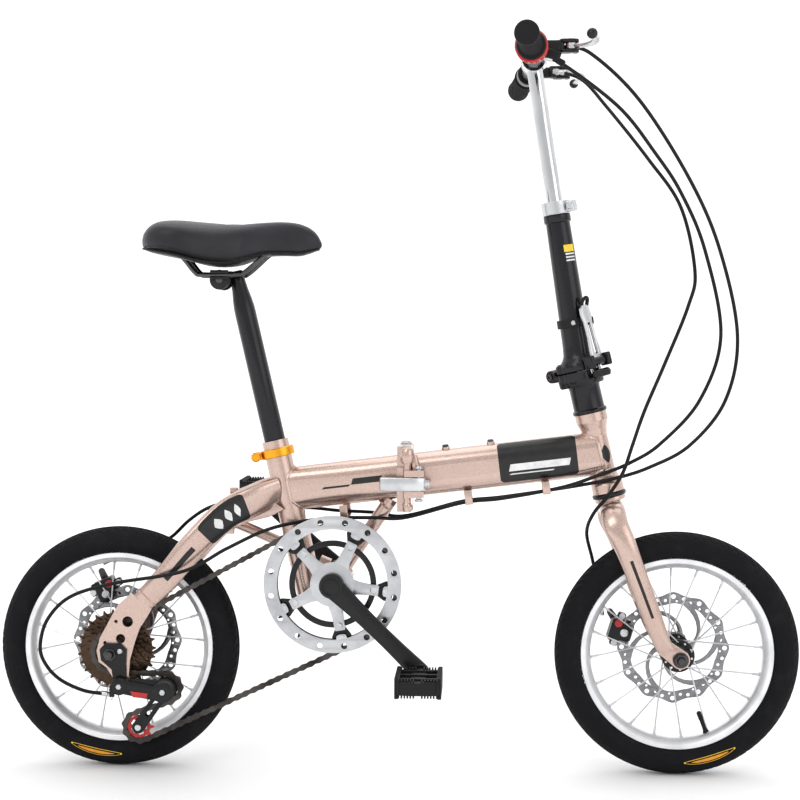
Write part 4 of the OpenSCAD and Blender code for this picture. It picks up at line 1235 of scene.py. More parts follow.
def weld_round(at, along, r, from_p, direction, half_h, half_w):
    """The weld where a flattened tube runs into a round one."""
    up = (Z - Z.dot(direction) * direction).normalized()
    path = []
    for k in range(72):
        t = 2 * math.pi * k / 72
        c, s = math.cos(t), math.sin(t)
        flat = max(0.0, half_h - half_w)
        p = from_p + up * (half_w * s + math.copysign(flat, s)) + Y * (half_w * c)
        path.append(meets(p, direction, at, along, r))
    return path


def carried(node, paint, edge=0.0):
    """Gives a CAD node its finish, and takes its sharp edges off."""
    part = frame["nodes"][node]
    part.data.materials.clear()
    part.data.materials.append(paint)
    if edge:
        ease = part.modifiers.new("edges", "BEVEL")
        ease.width = edge * MM
        ease.segments = 2
        ease.limit_method = "ANGLE"
        ease.angle_limit = math.radians(40)
        ease.harden_normals = True


for node in ("seat_tube", "front_main_tube", "head_tube"):
    carried(node, PAINT)
for node in ("dropout_right", "dropout_left"):
    carried(node, PAINT, 0.8)
for node in ("hinge_rear", "hinge_front"):
    carried(node, PAINT, 1.4)

stay_stations = [
    (-167, 12, 396.5, 21, 8.5), (-184, 22, 391, 22, 10), (-207, 32, 381, 22, 10.4), (-240, 42, 364, 21.5, 10),
    (-282, 54, 322, 20, 9), (-318, 60, 279, 18, 7.4), (-352, 63, 244, 15, 4.2),
]
limbs = {}
for side, word in ((-1, "right"), (1, "left")):
    limb = Limb([(x, side * y, z, h, w) for x, y, z, h, w in stay_stations], (0.35, 0, 1), 0.72)
    limbs["stay_" + word] = limb
    limb.skin().build(f"stay_{word}_tube", PAINT, "rear_frame", "frame_paint", (f"stay_{word}",))

fork_half = [
    (302, 0, 377, 17.5, 10), (302, 20, 377, 17.5, 10.4), (303, 38, 372, 17.5, 11), (306, 51, 356, 17.5, 10.6),
    (318, 56, 330, 16, 9.6), (336, 56, 284, 14.5, 9), (355, 56, 234, 13.5, 8.4), (369, 55, 198, 12, 7),
    (378, 53.4, 182, 11, 4.0),
]
for side, word in ((-1, "right"), (1, "left")):
    stations = [(x, side * y, z, h, w) for x, y, z, h, w in fork_half]
    limb = Limb(stations, (1, 0, 0.3), 0.92)
    limbs["leg_" + word] = limb
    shape = limb.skin()
    shape.side_plate(
        [slot_2d((374, 188), (wheel_x, wheel_z), 11.5, 13.2, 12), circle(5, (wheel_x, wheel_z), 20)],
        50 if side > 0 else -56, 56 if side > 0 else -50, 1.2,
    )
    shape.build(f"fork_{word}", PAINT, "fork", "frame_paint", (f"fork_leg_{word}",))
crown = Shape()
crown.lathe([(0, -71), (19, -71), (21.6, -69.4), (22, -66.6), (21.2, -64), (0, -64)],
            placed(head_mid, head_up), 56)
crown.build("fork_crown_seat", PAINT, "fork", "frame_paint", ("fork_crown",))

welds = Shape()
welds.skin(bead(weld_round(seat_top, seat_up, 19.2, tube_mid, -tube_along, 30.6, 18.4)), closed=True)
for word in ("right", "left"):
    limb = limbs["stay_" + word]
    welds.skin(bead([limb.point(0.955, 6 * k, 0.2) for k in range(60)], 1.3), closed=True)
for at, along, r in (
    (Vector((-17, 0, 377)), Vector((1, 0, 1)), 10.6),
    (Vector((-71, 0, 289)), Vector((1, 0, 1)), 10.8),
):
    place = placed(at, along)
    welds.skin(bead([place @ Vector((*polar(r, 6 * k), 0)) for k in range(60)], 1.6), closed=True)

rear_tube = Shape()
rings = []
for reach, half_h, half_w in ((-6, 31, 21), (-40, 31, 21), (-90, 31, 20.6), (-120, 30.6, 18.4)):
    ring = weld_round(seat_top, seat_up, 19, tube_mid, -tube_along, half_h, half_w)
    if reach > -120:
        middle_of_ring = tube_mid + tube_along * reach
        ring = [p + tube_along * (middle_of_ring - p).dot(tube_along) for p in ring]
    rings.append(ring)
rear_tube.skin(rings)
rear_tube.build("rear_tube_mitred", PAINT, "rear_frame", "frame_paint", ("rear_main_tube",))

bottom = Shape()
shell = side_frame(bb)
bottom.lathe([(17.5, -38), (20.2, -38), (21.4, -36.8), (21.4, 36.8), (20.2, 38), (17.5, 38)], shell, 56,
             loop=True)
bottom.rod((-78, 0, 282), (-8, 0, 386), 10)
for brace in ([(-95, 0, 292), (-102, 0, 295), (-109, 0, 298)], [(-166, 0, 322.5), (-195, 0, 335),
                                                                (-236, 0, 352)]):
    bottom.sweep(spline(brace, 5), 12, 24, 0.62, side=(0, 0, 1))
bottom.rod((-234, -34, 350), (-234, 34, 350), 9)
bottom.build("bracket_shell", PAINT, "rear_frame", "frame_paint", ("bb_shell",))
welds.build("frame_welds_rear", PAINT, "rear_frame", "frame_paint")
front_weld = Shape()
joint_line = weld_round(head_mid, head_up, 16.8, tube_mid + tube_along * 180, tube_along, 31, 21)
front_weld.skin(bead(joint_line, 2.4), closed=True)
front_weld.build("frame_welds_front", PAINT, "front_frame", "frame_paint")

gussets = Shape()
for side in (-1, 1):
    gussets.side_plate([[(-158, 372), (-178, 361), (-214, 352), (-236, 338), (-214, 366), (-176, 384)]],
                       side * 21 - 1.6, side * 21 + 1.6, 0.6)
gussets.build("stay_gussets", PAINT, "rear_frame", "frame_paint")

bosses = Shape()
for s in (62, 126):
    place = placed(tube_mid + tube_along * s + tube_up * 31, tube_up)
    bosses.lathe([(0, 1.2), (2.2, 1.2), (2.4, 3.2), (4.4, 3.4), (4.8, 4.4), (4.6, 5.6), (3.4, 6.4),
                  (1.9, 6.5),
                  (1.7, 5.0), (0, 5.0)], place, 24)
bosses.build("bottle_boss_screws", DARK, "front_frame", "steel")


def clips():
    """Cable clips: saddles under the main tube, and stops brazed on the stays."""
    front, rear = Shape(), Shape()
    for x, y0, y1, deep, shape in ((97, -17, 9, 19, front), (206, -25, -1, 16, front),
                                   (-78, -27, 29, 20, rear)):
        s = (x - tube_mid.x) / tube_along.x
        base = tube_mid + tube_along * s - tube_up * 29.5 + Y * ((y0 + y1) / 2)
        under = Matrix.Translation(base) @ Matrix.Rotation(-tube_rise, 4, "Y")
        shape.block((11, y1 - y0, 3), under @ Matrix.Translation((0, 0, -deep)), 1.2)
        for y in (y0, y1):
            shape.block((11, 3, deep), under @ Matrix.Translation((0, y - (y0 + y1) / 2, -deep / 2)), 1.2)
    for p in (limbs["stay_right"].point(0.52, 180, 1), limbs["stay_left"].point(0.45, 0, 2)):
        rear.block((12, 7, 9), Matrix.Translation(p), 2)
    front.build("cable_clips_front", PAINT, "front_frame", "frame_paint")
    rear.build("cable_clips_rear", PAINT, "rear_frame", "frame_paint")


def hinge():
    """The outside of the frame hinge: the post between its two knuckles, and the clamp lever."""
    post = Shape()
    at = Vector((fold.x + 5, -36.5, 0))
    post.rod(at + Z * 374, at + Z * 456, 5.2)
    for z, tall, wide in ((449, 17, 9.4), (377, 8, 6.6)):
        post.block((13, 24, tall), Matrix.Translation((at.x + 2, -31, z)), 5)
        post.lathe([(0, -tall / 2 - 1), (wide - 1, -tall / 2 - 1), (wide, -tall / 2 + 1), (wide, tall / 2),
                    (wide * 0.84, tall / 2 + 2.4),
                    (wide * 0.45, tall / 2 + 4), (0, tall / 2 + 4.4)], Matrix.Translation((at.x, at.y, z)),
                    32)
    post.block((12, 9, 26), Matrix.Translation((at.x + 10, -31, 438)) @ Matrix.Rotation(math.radians(-12), 4,
        "Y"), 4)
    post.build("hinge_post", PAINT, "front_frame", "frame_paint")
    pin = Shape()
    for z0, s in ((370, -1), (462, 1)):
        pin.lathe([(0, 0), (8.4, 0), (8.4, 1.2), (6.6, 3.4), (3.2, 4.4), (0, 4.6)],
                  placed((fold.x, fold.y, z0), Z * s), 28)
    pin.build("hinge_pin_caps", STEEL, "rear_frame", "steel")
    lever = Shape()
    band = [(-20, -45.2), (-21.6, -48), (-20.4, -51), (-16.5, -52.6), (-8, -53), (8, -54.2), (22, -54.6),
            (33, -53.4), (40, -49.6), (42, -44), (40, -38.6), (34.6, -35.4), (28.6, -36.6), (25, -40.5),
            (21, -45), (12, -47.4), (-2, -46.6), (-10, -45), (-15, -43.6)]
    lever.plate([band], 18.4, Matrix.Translation((0, 0, latch.z)), 1.5)
    lever.build("hinge_lever", SILVER, "frame_latch", "silver_alloy", ("frame_latch_lever",), sharp=30)
    bolt = Shape()
    for s in (-1, 1):
        bolt.lathe([(0, 0), (5.6, 0), (5.6, 1.6), (4.6, 3.2), (2.2, 3.2), (1.9, 1.8), (0, 1.8)],
                   placed(latch + Z * (s * 21.6), Z * s), 24)
    bolt.rod(latch - Z * 21, latch + Z * 21, 3.8)
    place = placed((41, -43, latch.z), Vector((1, 0, 0)))
    bolt.lathe([(0, -3), (4.8, -3)] + [(6.2 - 0.6 * (k % 2), -2 + 1.1 * k) for k in range(8)] + [(4.6, 7),
        (0, 7)], place, 16)
    bolt.build("hinge_lever_bolt", STEEL, "frame_latch", "steel")


def hanger():
    """The black bracket over the rear axle that carries the derailleur, with its small fixing bolt."""
    shape, bolt = Shape(), Shape()
    tail = [(-411, 178), (-403, 187), (-382, 187), (-373, 178), (-374, 160), (-373, 128), (-390, 120),
            (-394, 150), (-409, 163)]
    shape.side_plate([tail], -70.5, -66.2, 1)
    shape.build("derailleur_bracket", BLACK, "rear_frame", "black_metal")
    bolt.lathe([(0, 0), (3.8, 0), (3.8, 1.8), (2.8, 3), (1.6, 3), (1.4, 1.6), (0, 1.6)],
               placed((-382, -70.5, 176), -Y), 20)
    bolt.build("derailleur_bracket_bolt", SILVER, "rear_frame", "steel")


def collar():
    """The gold seat clamp: a split band, its ears, and a bolt with a ribbed nut."""
    band, bolt = Shape(), Shape()
    place = placed(seat_top, seat_up)
    ring = [(19.1, -23.6), (23, -23.6), (23.8, -22.8), (23.8, -12.2), (23, -11.4), (19.1, -11.4)]
    band.lathe(ring, place, 64, loop=True)
    for s in (-1, 1):
        band.block((17, 6.4, 10.6), place @ Matrix.Translation((-27, s * 5.0, -17.5)), 3)
    band.build("seat_clamp_band", GOLD, "rear_frame", "gold_anodised", ("seat_collar",), sharp=30)
    across = place @ Matrix.Translation((-30, 0, -17.5)) @ Matrix.Rotation(math.pi / 2, 4, "X")
    bolt.lathe([(0, -14), (2.6, -14), (2.8, -12.6), (5.6, -12.6), (6, -11.8), (6, -8.6), (2.8, -8.4),
                (2.8, 8.6),
                (6.2, 8.8), (6.6, 9.6), (6.6, 14.6), (5.4, 15.6), (0, 15.6)], across, 28)
    for k in range(10):
        p = Vector((*polar(6.4, 36 * k), 12.2))
        bolt.block((1.6, 1.6, 6), across @ Matrix.Translation(p), 0.6, 2)
    bolt.build("seat_clamp_bolt", GOLD, "rear_frame", "gold_anodised")


def bracket_cups():
    """Bottom bracket cups, with the slots for the ring spanner."""
    cups = Shape()
    for s in (-1, 1):
        place = side_frame(bb) @ Matrix.Rotation(0 if s > 0 else math.pi, 4, "X")
        cups.lathe([(9.4, 37.8), (19.4, 37.8), (20.4, 38.6), (20.4, 43), (18.6, 44.4), (13, 44.8),
                    (9.4, 44.8)],
                   place, 48, loop=True)
        for k in range(8):
            cups.block((3.4, 4.2, 3.2), place @ Matrix.Translation((*polar(20.0, 45 * k), 41))
                       @ Matrix.Rotation(math.radians(45 * k), 4, "Z"), 1, 2)
    cups.build("bracket_cups", DARK, "rear_frame", "steel")


def decals():
    """Plain graphics: dark panels, pinstripes and lozenges, with no lettering."""
    for side, word in ((-1, "right"), (1, "left")):
        def panel(a, b, lift):
            return tube_skin(side, 134 + 110 * a, -25.5 + 61 * b, lift)
        patch(panel, 0.07, 22, 40).build(f"tube_panel_{word}", BLACK_FILM, "front_frame", "frame_paint")
        bars = Shape()
        for s0, s1, e0, e1 in ((147, 232, -9.4, 0.4), (147, 208, -14.2, -12.6)):
            piece = patch(lambda a, b, lift: tube_skin(side, s0 + (s1 - s0) * a + 3 * b, e0 + (e1 - e0) * b,
                                                       lift),
                          0, 6, 20, 0.5)
            bars.add(piece.points, piece.faces)
        bars.build(f"tube_panel_bars_{word}", PALE_FILM, "front_frame", "frame_paint")
        lines = Shape()
        for s0, s1, e0, e1 in ((-76, -34, -2, 6.5), (-118, -80, -4, -1.4)):
            piece = patch(lambda a, b, lift: tube_skin(side, s0 + (s1 - s0) * a + 3.5 * b,
                                                       e0 + (e1 - e0) * b - 0.6, lift),
                          0, 4, 16, 0.3)
            lines.add(piece.points, piece.faces)
        lines.build(f"tube_dashes_{word}", BLACK_FILM, "rear_frame", "frame_paint")
        stay = limbs["stay_" + word]
        way = -90 if side < 0 else 90
        def badge(a, b, lift):
            spread = -58 + 116 * b
            return stay.point(0.36 + 0.25 * a, way + spread, lift)
        patch(badge, 0.16, 16, 24).build(f"stay_badge_{word}", BLACK_FILM, "rear_frame", "frame_paint")
        gems = Shape()
        for k in range(3):
            a0 = 0.405 + 0.058 * k
            def gem(a, b, lift):
                half = 20 * (1 - abs(2 * a - 1))
                return stay.point(a0 + 0.04 * a, way - half + 2 * half * b, lift)
            piece = patch(gem, 0, 6, 12, 0.5)
            gems.add(piece.points, piece.faces)
        gems.build(f"stay_badge_gems_{word}", PALE_FILM, "rear_frame", "frame_paint")
        dash = patch(lambda a, b, lift: stay.point(0.67 + 0.17 * a, way - 6 + 12 * b, lift), 0, 4, 16)
        dash.build(f"stay_dash_{word}", BLACK_FILM, "rear_frame", "frame_paint")
        leg = limbs["leg_" + word]
        dash = patch(lambda a, b, lift: leg.point(0.56 + 0.2 * a, -way - 7 + 14 * b, lift), 0, 4, 16)
        dash.build(f"fork_dash_{word}", BLACK_FILM, "fork", "frame_paint")
    def crest(a, b, lift):
        half = 24 * math.sin(math.pi * a) ** 0.8
        turn = math.radians(-60 - half + 2 * half * b)
        place = placed(head_mid, head_up)
        return place @ Vector(((16.6 + lift) * math.cos(turn), (16.6 + lift) * math.sin(turn), -16 + 26 * a))
    patch(crest, 0, 8, 16, 0.25).build("head_lozenge", BLACK_FILM, "front_frame", "frame_paint")


clips()
hinge()
hanger()
collar()
bracket_cups()
decals()


# ---------------------------------------------------------------- stem, bar and levers

stem_foot = Vector((256.9, 0, 576.2))
stem_up = axis_of("mast_height")
stem_pin = pivot("stem_fold")
stem_axis = axis_of("stem_fold")
stem_latch = pivot("stem_latch_swing")
bar_mid = Vector((188.9, 0, 1000.8))
lever_pivot = pivot("brake_lever_left_pull")


def bar_point(y):
    """The bar's centre line, which sweeps back and drops a little outside its middle."""
    t = max(0.0, abs(y) - 60) / 192
    return bar_mid + Vector((-16 * t, y, -4 * t))


def stem_hinge_frame():
    """x outwards past the pin, y along the pin, z up the steerer, from the pin's middle."""
    out = stem_axis.cross(head_up).normalized()
    if out.y < 0:
        out = -out
    return Matrix.Translation(stem_pin) @ Matrix((out, head_up.cross(out), head_up)).transposed().to_4x4()


def clam(z0, z1, bulge):
    """One half of the stem hinge: a rounded block that swells round the stem."""
    shape = Shape()
    place = stem_hinge_frame()
    outline = [(-61, 17), (-40, 24.5), (-26, 25.5), (-10, 20), (-10, -20), (-26, -25.5), (-40, -24.5),
               (-61, -17)]
    smooth = []
    n = len(outline)
    for i in range(n):
        a, b, c, d = (Vector((*outline[(i + k) % n], 0)) for k in (-1, 0, 1, 2))
        for k in range(8):
            t = k / 8
            p = 0.5 * (2 * b + (c - a) * t + (2 * a - 5 * b + 4 * c - d) * t * t + (3 * b - a - 3 * c + d) * t ** 3)
            smooth.append(p)
    centre = Vector((-37, 0, 0))
    rings = []
    for z, scale in ((z0, 0.94), (z0 + (z1 - z0) * 0.1, 0.99), (z0 + (z1 - z0) * 0.5, 1.0),
                     (z0 + (z1 - z0) * 0.8, 0.97), (z1, bulge)):
        rings.append([centre + (p - centre) * scale + Vector((0, 0, z)) for p in smooth])
    return shape.skin(rings, place=place)


def stem_parts():
    """Headset ring, lower stem and hinge, the folding stem, its strap, label, collar and latch."""
    up = placed(head_mid, head_up)
    base = Shape()
    base.lathe([(0, 57.2), (23.4, 57.2), (24.2, 58.2), (24.2, 61.4), (23.2, 62.6), (22, 63.2), (21.8, 66),
                (21.6, 92), (22.6, 98), (26, 104.5), (0, 104.6)], up, 64)
    base.lathe([(15, -63.6), (23.4, -63.6), (24.2, -62.4), (24.2, -59.4), (23.2, -58), (15, -58)], up, 64,
               loop=True)
    low = clam(-20.5, -0.5, 0.985)
    base.add(low.points, low.faces)
    hinge = stem_hinge_frame()
    for s in (-1, 1):
        base.lathe([(0, -7.2), (8, -7.2), (9, -6.2), (9, 6.2), (8, 7.2), (0, 7.2)],
                   hinge @ Matrix.Translation((0, s * 16.8, 0)) @ Matrix.Rotation(math.pi / 2, 4, "X"), 32)
        base.block((14, 14.2, 8.6), hinge @ Matrix.Translation((-7, s * 16.8, -5)), 2)
    base.build("stem_base_body", STEM_BLACK, "fork", "black_alloy", ("stem_base",))
    pin = Shape()
    for s in (-1, 1):
        pin.lathe([(0, 0), (4.4, 0), (4.6, 1.6), (3.4, 3), (1.8, 3), (1.6, 1.6), (0, 1.6)],
                  hinge @ Matrix.Translation((0, s * 24, 0)) @ Matrix.Rotation(-s * math.pi / 2, 4, "X"), 6)
    pin.build("stem_pin_ends", DARK, "fork", "steel")

    stem = placed(stem_foot, stem_up)
    tube = Shape()
    tube.lathe([(0, 0.5), (27.5, 0.6), (26.5, 5), (23, 10), (20.6, 16), (19.7, 30), (19.2, 60), (17.9, 140),
                (16.9, 202), (18.6, 203), (19, 204), (19, 212.6), (18.2, 213.6), (11.4, 213.6)], stem, 72)
    top = clam(0.5, 14.6, 0.86)
    tube.add(top.points, top.faces)
    tube.lathe([(0, -8.6), (8.2, -8.6), (9, -7.8), (9, 7.8), (8.2, 8.6), (0, 8.6)],
               hinge @ Matrix.Rotation(math.pi / 2, 4, "X"), 32)
    tube.block((14, 17, 8.4), hinge @ Matrix.Translation((-7, 0, 5.2)), 2)
    for s in (-1, 1):
        tube.block((17, 9, 18), hinge @ Matrix.Translation((-72.5, s * 17, 9.2)), 3.4)
    tube.build("folding_stem", STEM_BLACK, "stem_upper", "black_alloy", ("stem_tube",))

    strap, screw = Shape(), Shape()
    strap.lathe([(19, 54.6), (22, 54.6), (22.6, 55.4), (22.6, 65.8), (22, 66.6), (19, 66.6)], stem, 64,
                loop=True)
    toward = (stem.inverted() @ stem_latch)
    heading = math.degrees(math.atan2(toward.y, toward.x))
    ear = stem @ Matrix.Rotation(math.radians(heading), 4, "Z")
    strap.block((11, 21, 11), ear @ Matrix.Translation((26, 0, 60.6)), 3.5)
    loop = [Vector((22, -5, 66)), Vector((24, -6, 80)), Vector((29, -4.5, 90)), Vector((31, 0, 93)),
            Vector((29, 4.5, 90)), Vector((24, 6, 80)), Vector((22, 5, 66))]
    strap.sweep([ear @ p for p in spline(loop, 5)], 2.6, 10)
    strap.build("stem_strap", PLASTIC, "stem_upper", "black_plastic")
    screw.lathe([(0, 0), (3.4, 0), (3.4, 0.8), (2.4, 1.8), (0, 1.8)],
                stem @ Matrix.Rotation(math.radians(-92), 4, "Z") @ Matrix.Translation((22.4, 0, 60.6))
                @ Matrix.Rotation(math.pi / 2, 4, "Y"), 20)
    screw.build("stem_strap_screw", SILVER, "stem_upper", "steel")

    def label(low, high, start, stop):
        def point(a, b, lift):
            z = low + (high - low) * b
            r = 19.2 - (z - 60) * 0.01625 + lift
            turn = math.radians(start + (stop - start) * a)
            return stem @ Vector((r * math.cos(turn), r * math.sin(turn), z))
        return patch(point, 0, 8, 12, 0.3)
    label(160, 170, -84, -30).build("stem_label_top", YELLOW_FILM, "stem_upper", "black_alloy")
    stripes = Shape()
    for low in (147, 151.5, 156):
        piece = label(low, low + 2.2, -80, -32)
        stripes.add(piece.points, piece.faces)
    stripes.build("stem_label_stripes", PALE_FILM, "stem_upper", "black_alloy")

    clamp = Shape()
    clamp.lathe([(11.3, 214), (18.8, 214), (19.5, 215), (19.5, 231), (18.8, 232), (11.3, 232)], stem, 72,
                loop=True)
    front = stem @ Matrix.Rotation(math.radians(-20), 4, "Z")
    for s in (-1, 1):
        clamp.block((14, 6.6, 15), front @ Matrix.Translation((22, s * 4.6, 223)), 2.6)
    across = front @ Matrix.Translation((23.5, 0, 223)) @ Matrix.Rotation(math.pi / 2, 4, "X")
    clamp.lathe([(0, -12), (2, -12), (2.2, -10.6), (5, -10.6), (5.2, -7.6), (2.6, -7.4), (2.6, 7.4),
                 (5.2, 7.6),
                 (5.2, 11), (4.2, 12), (0, 12)], across, 24)
    clamp.build("stem_clamp_ring", SILVER, "stem_upper", "silver_alloy", ("stem_collar",), sharp=30)

    to_pin = hinge.to_3x3()
    lock = Matrix.Translation(stem_latch) @ to_pin.to_4x4() @ Matrix.Rotation(math.radians(2), 4, "Y")
    leaf = Shape()
    barrel = Shape().lathe([(0, -11.4), (5.2, -11.4), (6, -10.4), (6, 10.4), (5.2, 11.4), (0, 11.4)],
                           lock @ Matrix.Rotation(math.pi / 2, 4, "X"), 28)
    barrel.build("stem_latch_barrel", BLACK, "stem_latch", "black_alloy")
    blade = [(-9, 0), (-10.4, 8), (-9.4, 20), (-7.4, 34), (-7.6, 56), (-9.8, 66), (-8.6, 76), (-4, 80),
             (4, 80),
             (8.6, 76), (9.8, 66), (7.6, 56), (7.4, 34), (9.4, 20), (10.4, 8), (9, 0)]
    side_on = lock @ Matrix(((0, 0, 1, 0), (1, 0, 0, 0), (0, 1, 0, 0), (0, 0, 0, 1)))
    leaf.plate([blade, slot_2d((0, 14), (0, 52), 3.6, 2.8, 6)], 5.6, side_on, 1.6)
    leaf.build("stem_latch_leaf", SILVER, "stem_latch", "silver_alloy", ("stem_latch_lever",), sharp=30)
    link = Shape()
    for s in (-1, 1):
        link.sweep([lock @ Vector(p) for p in ((4, s * 8, 3), (8, s * 8.5, -4), (7, s * 8, -14),
                                               (0, s * 7, -20))], 2.4, 10)
    link.build("stem_latch_link", STEEL, "fork", "steel")
    hook = Shape()
    hook.block((16, 24, 9), hinge @ Matrix.Translation((-74, 0, -9)), 3.4)
    hook.lathe([(0, -12.6), (5, -12.6), (5.4, -11.6), (5.4, 11.6), (5, 12.6), (0, 12.6)],
               hinge @ Matrix.Translation((-76, 0, -8)) @ Matrix.Rotation(math.pi / 2, 4, "X"), 24)
    hook.build("stem_hook", BLACK, "fork", "black_alloy")


def mast_parts():
    """The chromed mast keeps its tube. The clamp sleeve gets its split, bolts and end lips."""
    carried("mast_tube", CHROME)
    sleeve, bolts = Shape(), Shape()
    place = Matrix.Translation(bar_mid) @ Matrix.Rotation(-math.pi / 2, 4, "X")
    for s in (-1, 1):
        sleeve.lathe([(11.3, s * 22), (15.4, s * 22), (16.6, s * 20.8), (16.6, s * 18.6), (16.1, s * 18.2),
                      (11.3, s * 18.2)],
                     place, 56, loop=True)
        bolts.lathe([(0, 0), (2.2, 0), (2.3, 1.4), (4, 1.4), (4.2, -2.4), (0, -2.4)],
                    placed(bar_mid + Vector((17.4, s * 12, -2)), X), 20)
    sleeve.block((7, 40, 9), Matrix.Translation(bar_mid + Vector((15, 0, -2))), 2.4)
    sleeve.build("bar_clamp_lips", CHROME, "mast", "chrome")
    bolts.build("bar_clamp_bolts", STEEL, "mast", "steel")
    carried("handlebar", BLACK)


def grip(side, start, stop, name):
    """A rubber grip: a flanged inner end, ribs along its middle, fine rings and a closed domed end."""
    a, b = bar_point(side * start), bar_point(side * stop)
    place, length = placed(a, b - a), (b - a).length
    profile = [(11, 0), (16.4, 0), (17.4, 0.8), (17.4, 2.6), (16, 3.6), (14.6, 4.2)]
    count = int((length - 18) / 3.2)
    for k in range(count):
        z = 6 + (length - 18) * k / count
        profile += [(14.4, z), (15.3, z + 0.7), (15.3, z + 2.0), (14.4, z + 2.6)]
    profile += [(14.6, length - 11), (15.6, length - 9), (16.2, length - 5), (15.8, length - 1.6),
                (14.2, length), (0, length)]
    shape = Shape().lathe(profile, place, 56)
    for k in range(3):
        shape.lathe([(0, length - 0.4), (4 + 3 * k, length - 0.4), (4 + 3 * k, length + 0.25),
                     (3.2 + 3 * k, length + 0.4),
                     (0, length + 0.2)], place, 40)
    return shape.build(name, GRIP, "mast", "grip_rubber", ("grips",))


def lever(side, name, body, replaced):
    """A brake lever: an alloy blade that narrows to a ball end, on a pivot with its pin."""
    shape, pin = Shape(), Shape()
    z = lever_pivot.z
    points = [(236, 108, z), (243, 116, z), (254, 126, z), (262, 138, z), (265, 156, z - 0.4),
              (264, 178, z - 0.8),
              (260, 200, z - 1), (257, 211, z - 1)]
    path = [(x, side * y, h) for x, y, h in spline(points, 6)]
    shape.sweep(path, lambda s: 6.4 - 2.2 * s + 0.6 * math.sin(math.pi * s), 20, 0.58, side=(0, 0, 1))
    ball = Vector(path[-1])
    tip = Shape().lathe([(7 * math.sin(math.radians(t)), -7 * math.cos(math.radians(t))) for t in range(0,
        181, 12)],
                        Matrix.Translation(ball), 28)
    tip.build(name + "_tip", BLACK, body, "black_alloy")
    shape.lathe([(0, -4.2), (7.4, -4.2), (8, -3.4), (8, 3.4), (7.4, 4.2), (0, 4.2)],
                Matrix.Translation((lever_pivot.x, side * lever_pivot.y, z)), 32)
    shape.build(name + "_blade", SILVER, body, "silver_alloy", (replaced,))
    pin.lathe([(0, -9.6), (3.6, -9.6), (3.6, -8.9), (2.9, -8.8), (2.9, 8.8), (4.2, 8.9), (4.2, 10.2),
               (3.2, 11), (0, 11)],
              Matrix.Translation((lever_pivot.x, side * lever_pivot.y, z)), 24)
    pin.build(name + "_pin", STEEL, body, "steel")


def perches():
    """Lever brackets: a clamp round the bar, a waisted arm, the fork of the pivot and a barrel adjuster."""
    shape, fixing = Shape(), Shape()
    z = lever_pivot.z
    for side in (-1, 1):
        a, b = bar_point(side * 101), bar_point(side * 121)
        place, length = placed(a, b - a), (b - a).length
        shape.lathe([(11, 0), (15, 0), (16, 1.2), (16, length - 1.2), (15, length), (11, length)], place, 48,
                    loop=True)
        shape.block((31, 13, 15), Matrix.Translation((211, side * 112, z)), 4)
        for h in (-6.8, 6.8):
            shape.block((26, 17, 4.6), Matrix.Translation((233, side * 112, z + h)), 6)
        shape.block((12, 15, 17), Matrix.Translation((221, side * 107, z)), 3.5)
        fixing.lathe([(0, 0), (2, 0), (2.2, 1.4), (3.9, 1.4), (4, -2), (0, -2)],
                     placed((199, side * 104.5, z + 8.6), Z), 18)
        barrel = placed((224, side * 101.6, z), Vector((0.9, -side * 0.25, -0.15)))
        fixing.lathe([(0, -3), (4.6, -3)] + [(5.0 - 0.5 * (k % 2), -2.4 + 0.9 * k) for k in range(9)]
                     + [(3.8, 6), (3.2, 6.4), (3.2, 11), (0, 11)], barrel, 20)
    shape.build("lever_brackets", BLACK, "mast", "black_alloy", ("brake_perches",))
    fixing.build("lever_barrels", SILVER, "mast", "steel")


def shifter():
    """A twist shifter: the red ribbed ring that turns, and the black housing that stays on the bar."""
    a, b = bar_point(-124), bar_point(-146)
    place, length = placed(a, b - a), (b - a).length
    profile = [(11.2, 0), (20.6, 0), (21.8, 1.2), (21.8, 3)]
    profile += [(21.8 - 0.9 * (k % 2), 3.6 + k * 1.1) for k in range(12)]
    profile += [(21.8, length - 4), (22, length - 2), (20.4, length), (11.2, length)]
    ring = Shape().lathe(profile, place, 72, loop=True)
    for k in range(18):
        ring.block((1.8, 2.4, 12), place @ Matrix.Rotation(math.radians(20 * k), 4, "Z")
                   @ Matrix.Translation((21.1, 0, length / 2)), 0.8, 2)
    ring.build("shifter_grip_ring", RED, "shifter", "red_plastic", ("shifter_ring",))
    house = Shape()
    near = placed(bar_point(-121.6), bar_point(-124) - bar_point(-121.6))
    house.lathe([(11.2, 0), (17.6, 0), (18.8, 0.8), (19, 2.0), (11.2, 2.0)], near, 56, loop=True)
    house.block((34, 9, 13), Matrix.Translation((205, -123, 992)) @ Matrix.Rotation(math.radians(18), 4, "Y"),
                4)
    house.lathe([(0, 0), (4.4, 0), (4.4, 3)] + [(4.8 - 0.5 * (k % 2), 3.4 + 0.9 * k) for k in range(8)] + [(3,
        11), (0, 11)],
                placed((217, -121, 983), Vector((0.85, 0.16, -0.45))), 18)
    house.build("shifter_housing", PLASTIC, "mast", "black_plastic")
    sleeve = Shape()
    end = placed(bar_point(-146.4), bar_point(-150) - bar_point(-146.4))
    sleeve.lathe([(11.2, 0), (19.4, 0), (19.8, 0.6), (18.4, 3.0), (11.2, 3.2)], end, 56, loop=True)
    sleeve.build("shifter_collar", PLASTIC, "mast", "black_plastic")


stem_parts()
mast_parts()
grip(-1, 150, 251, "right_grip")
grip(1, 132, 251, "left_grip")
lever(-1, "right_lever", "lever_right", "brake_lever_right")
lever(1, "left_lever", "lever_left", "brake_lever_left")
perches()
shifter()


# ---------------------------------------------------------------- saddle and post

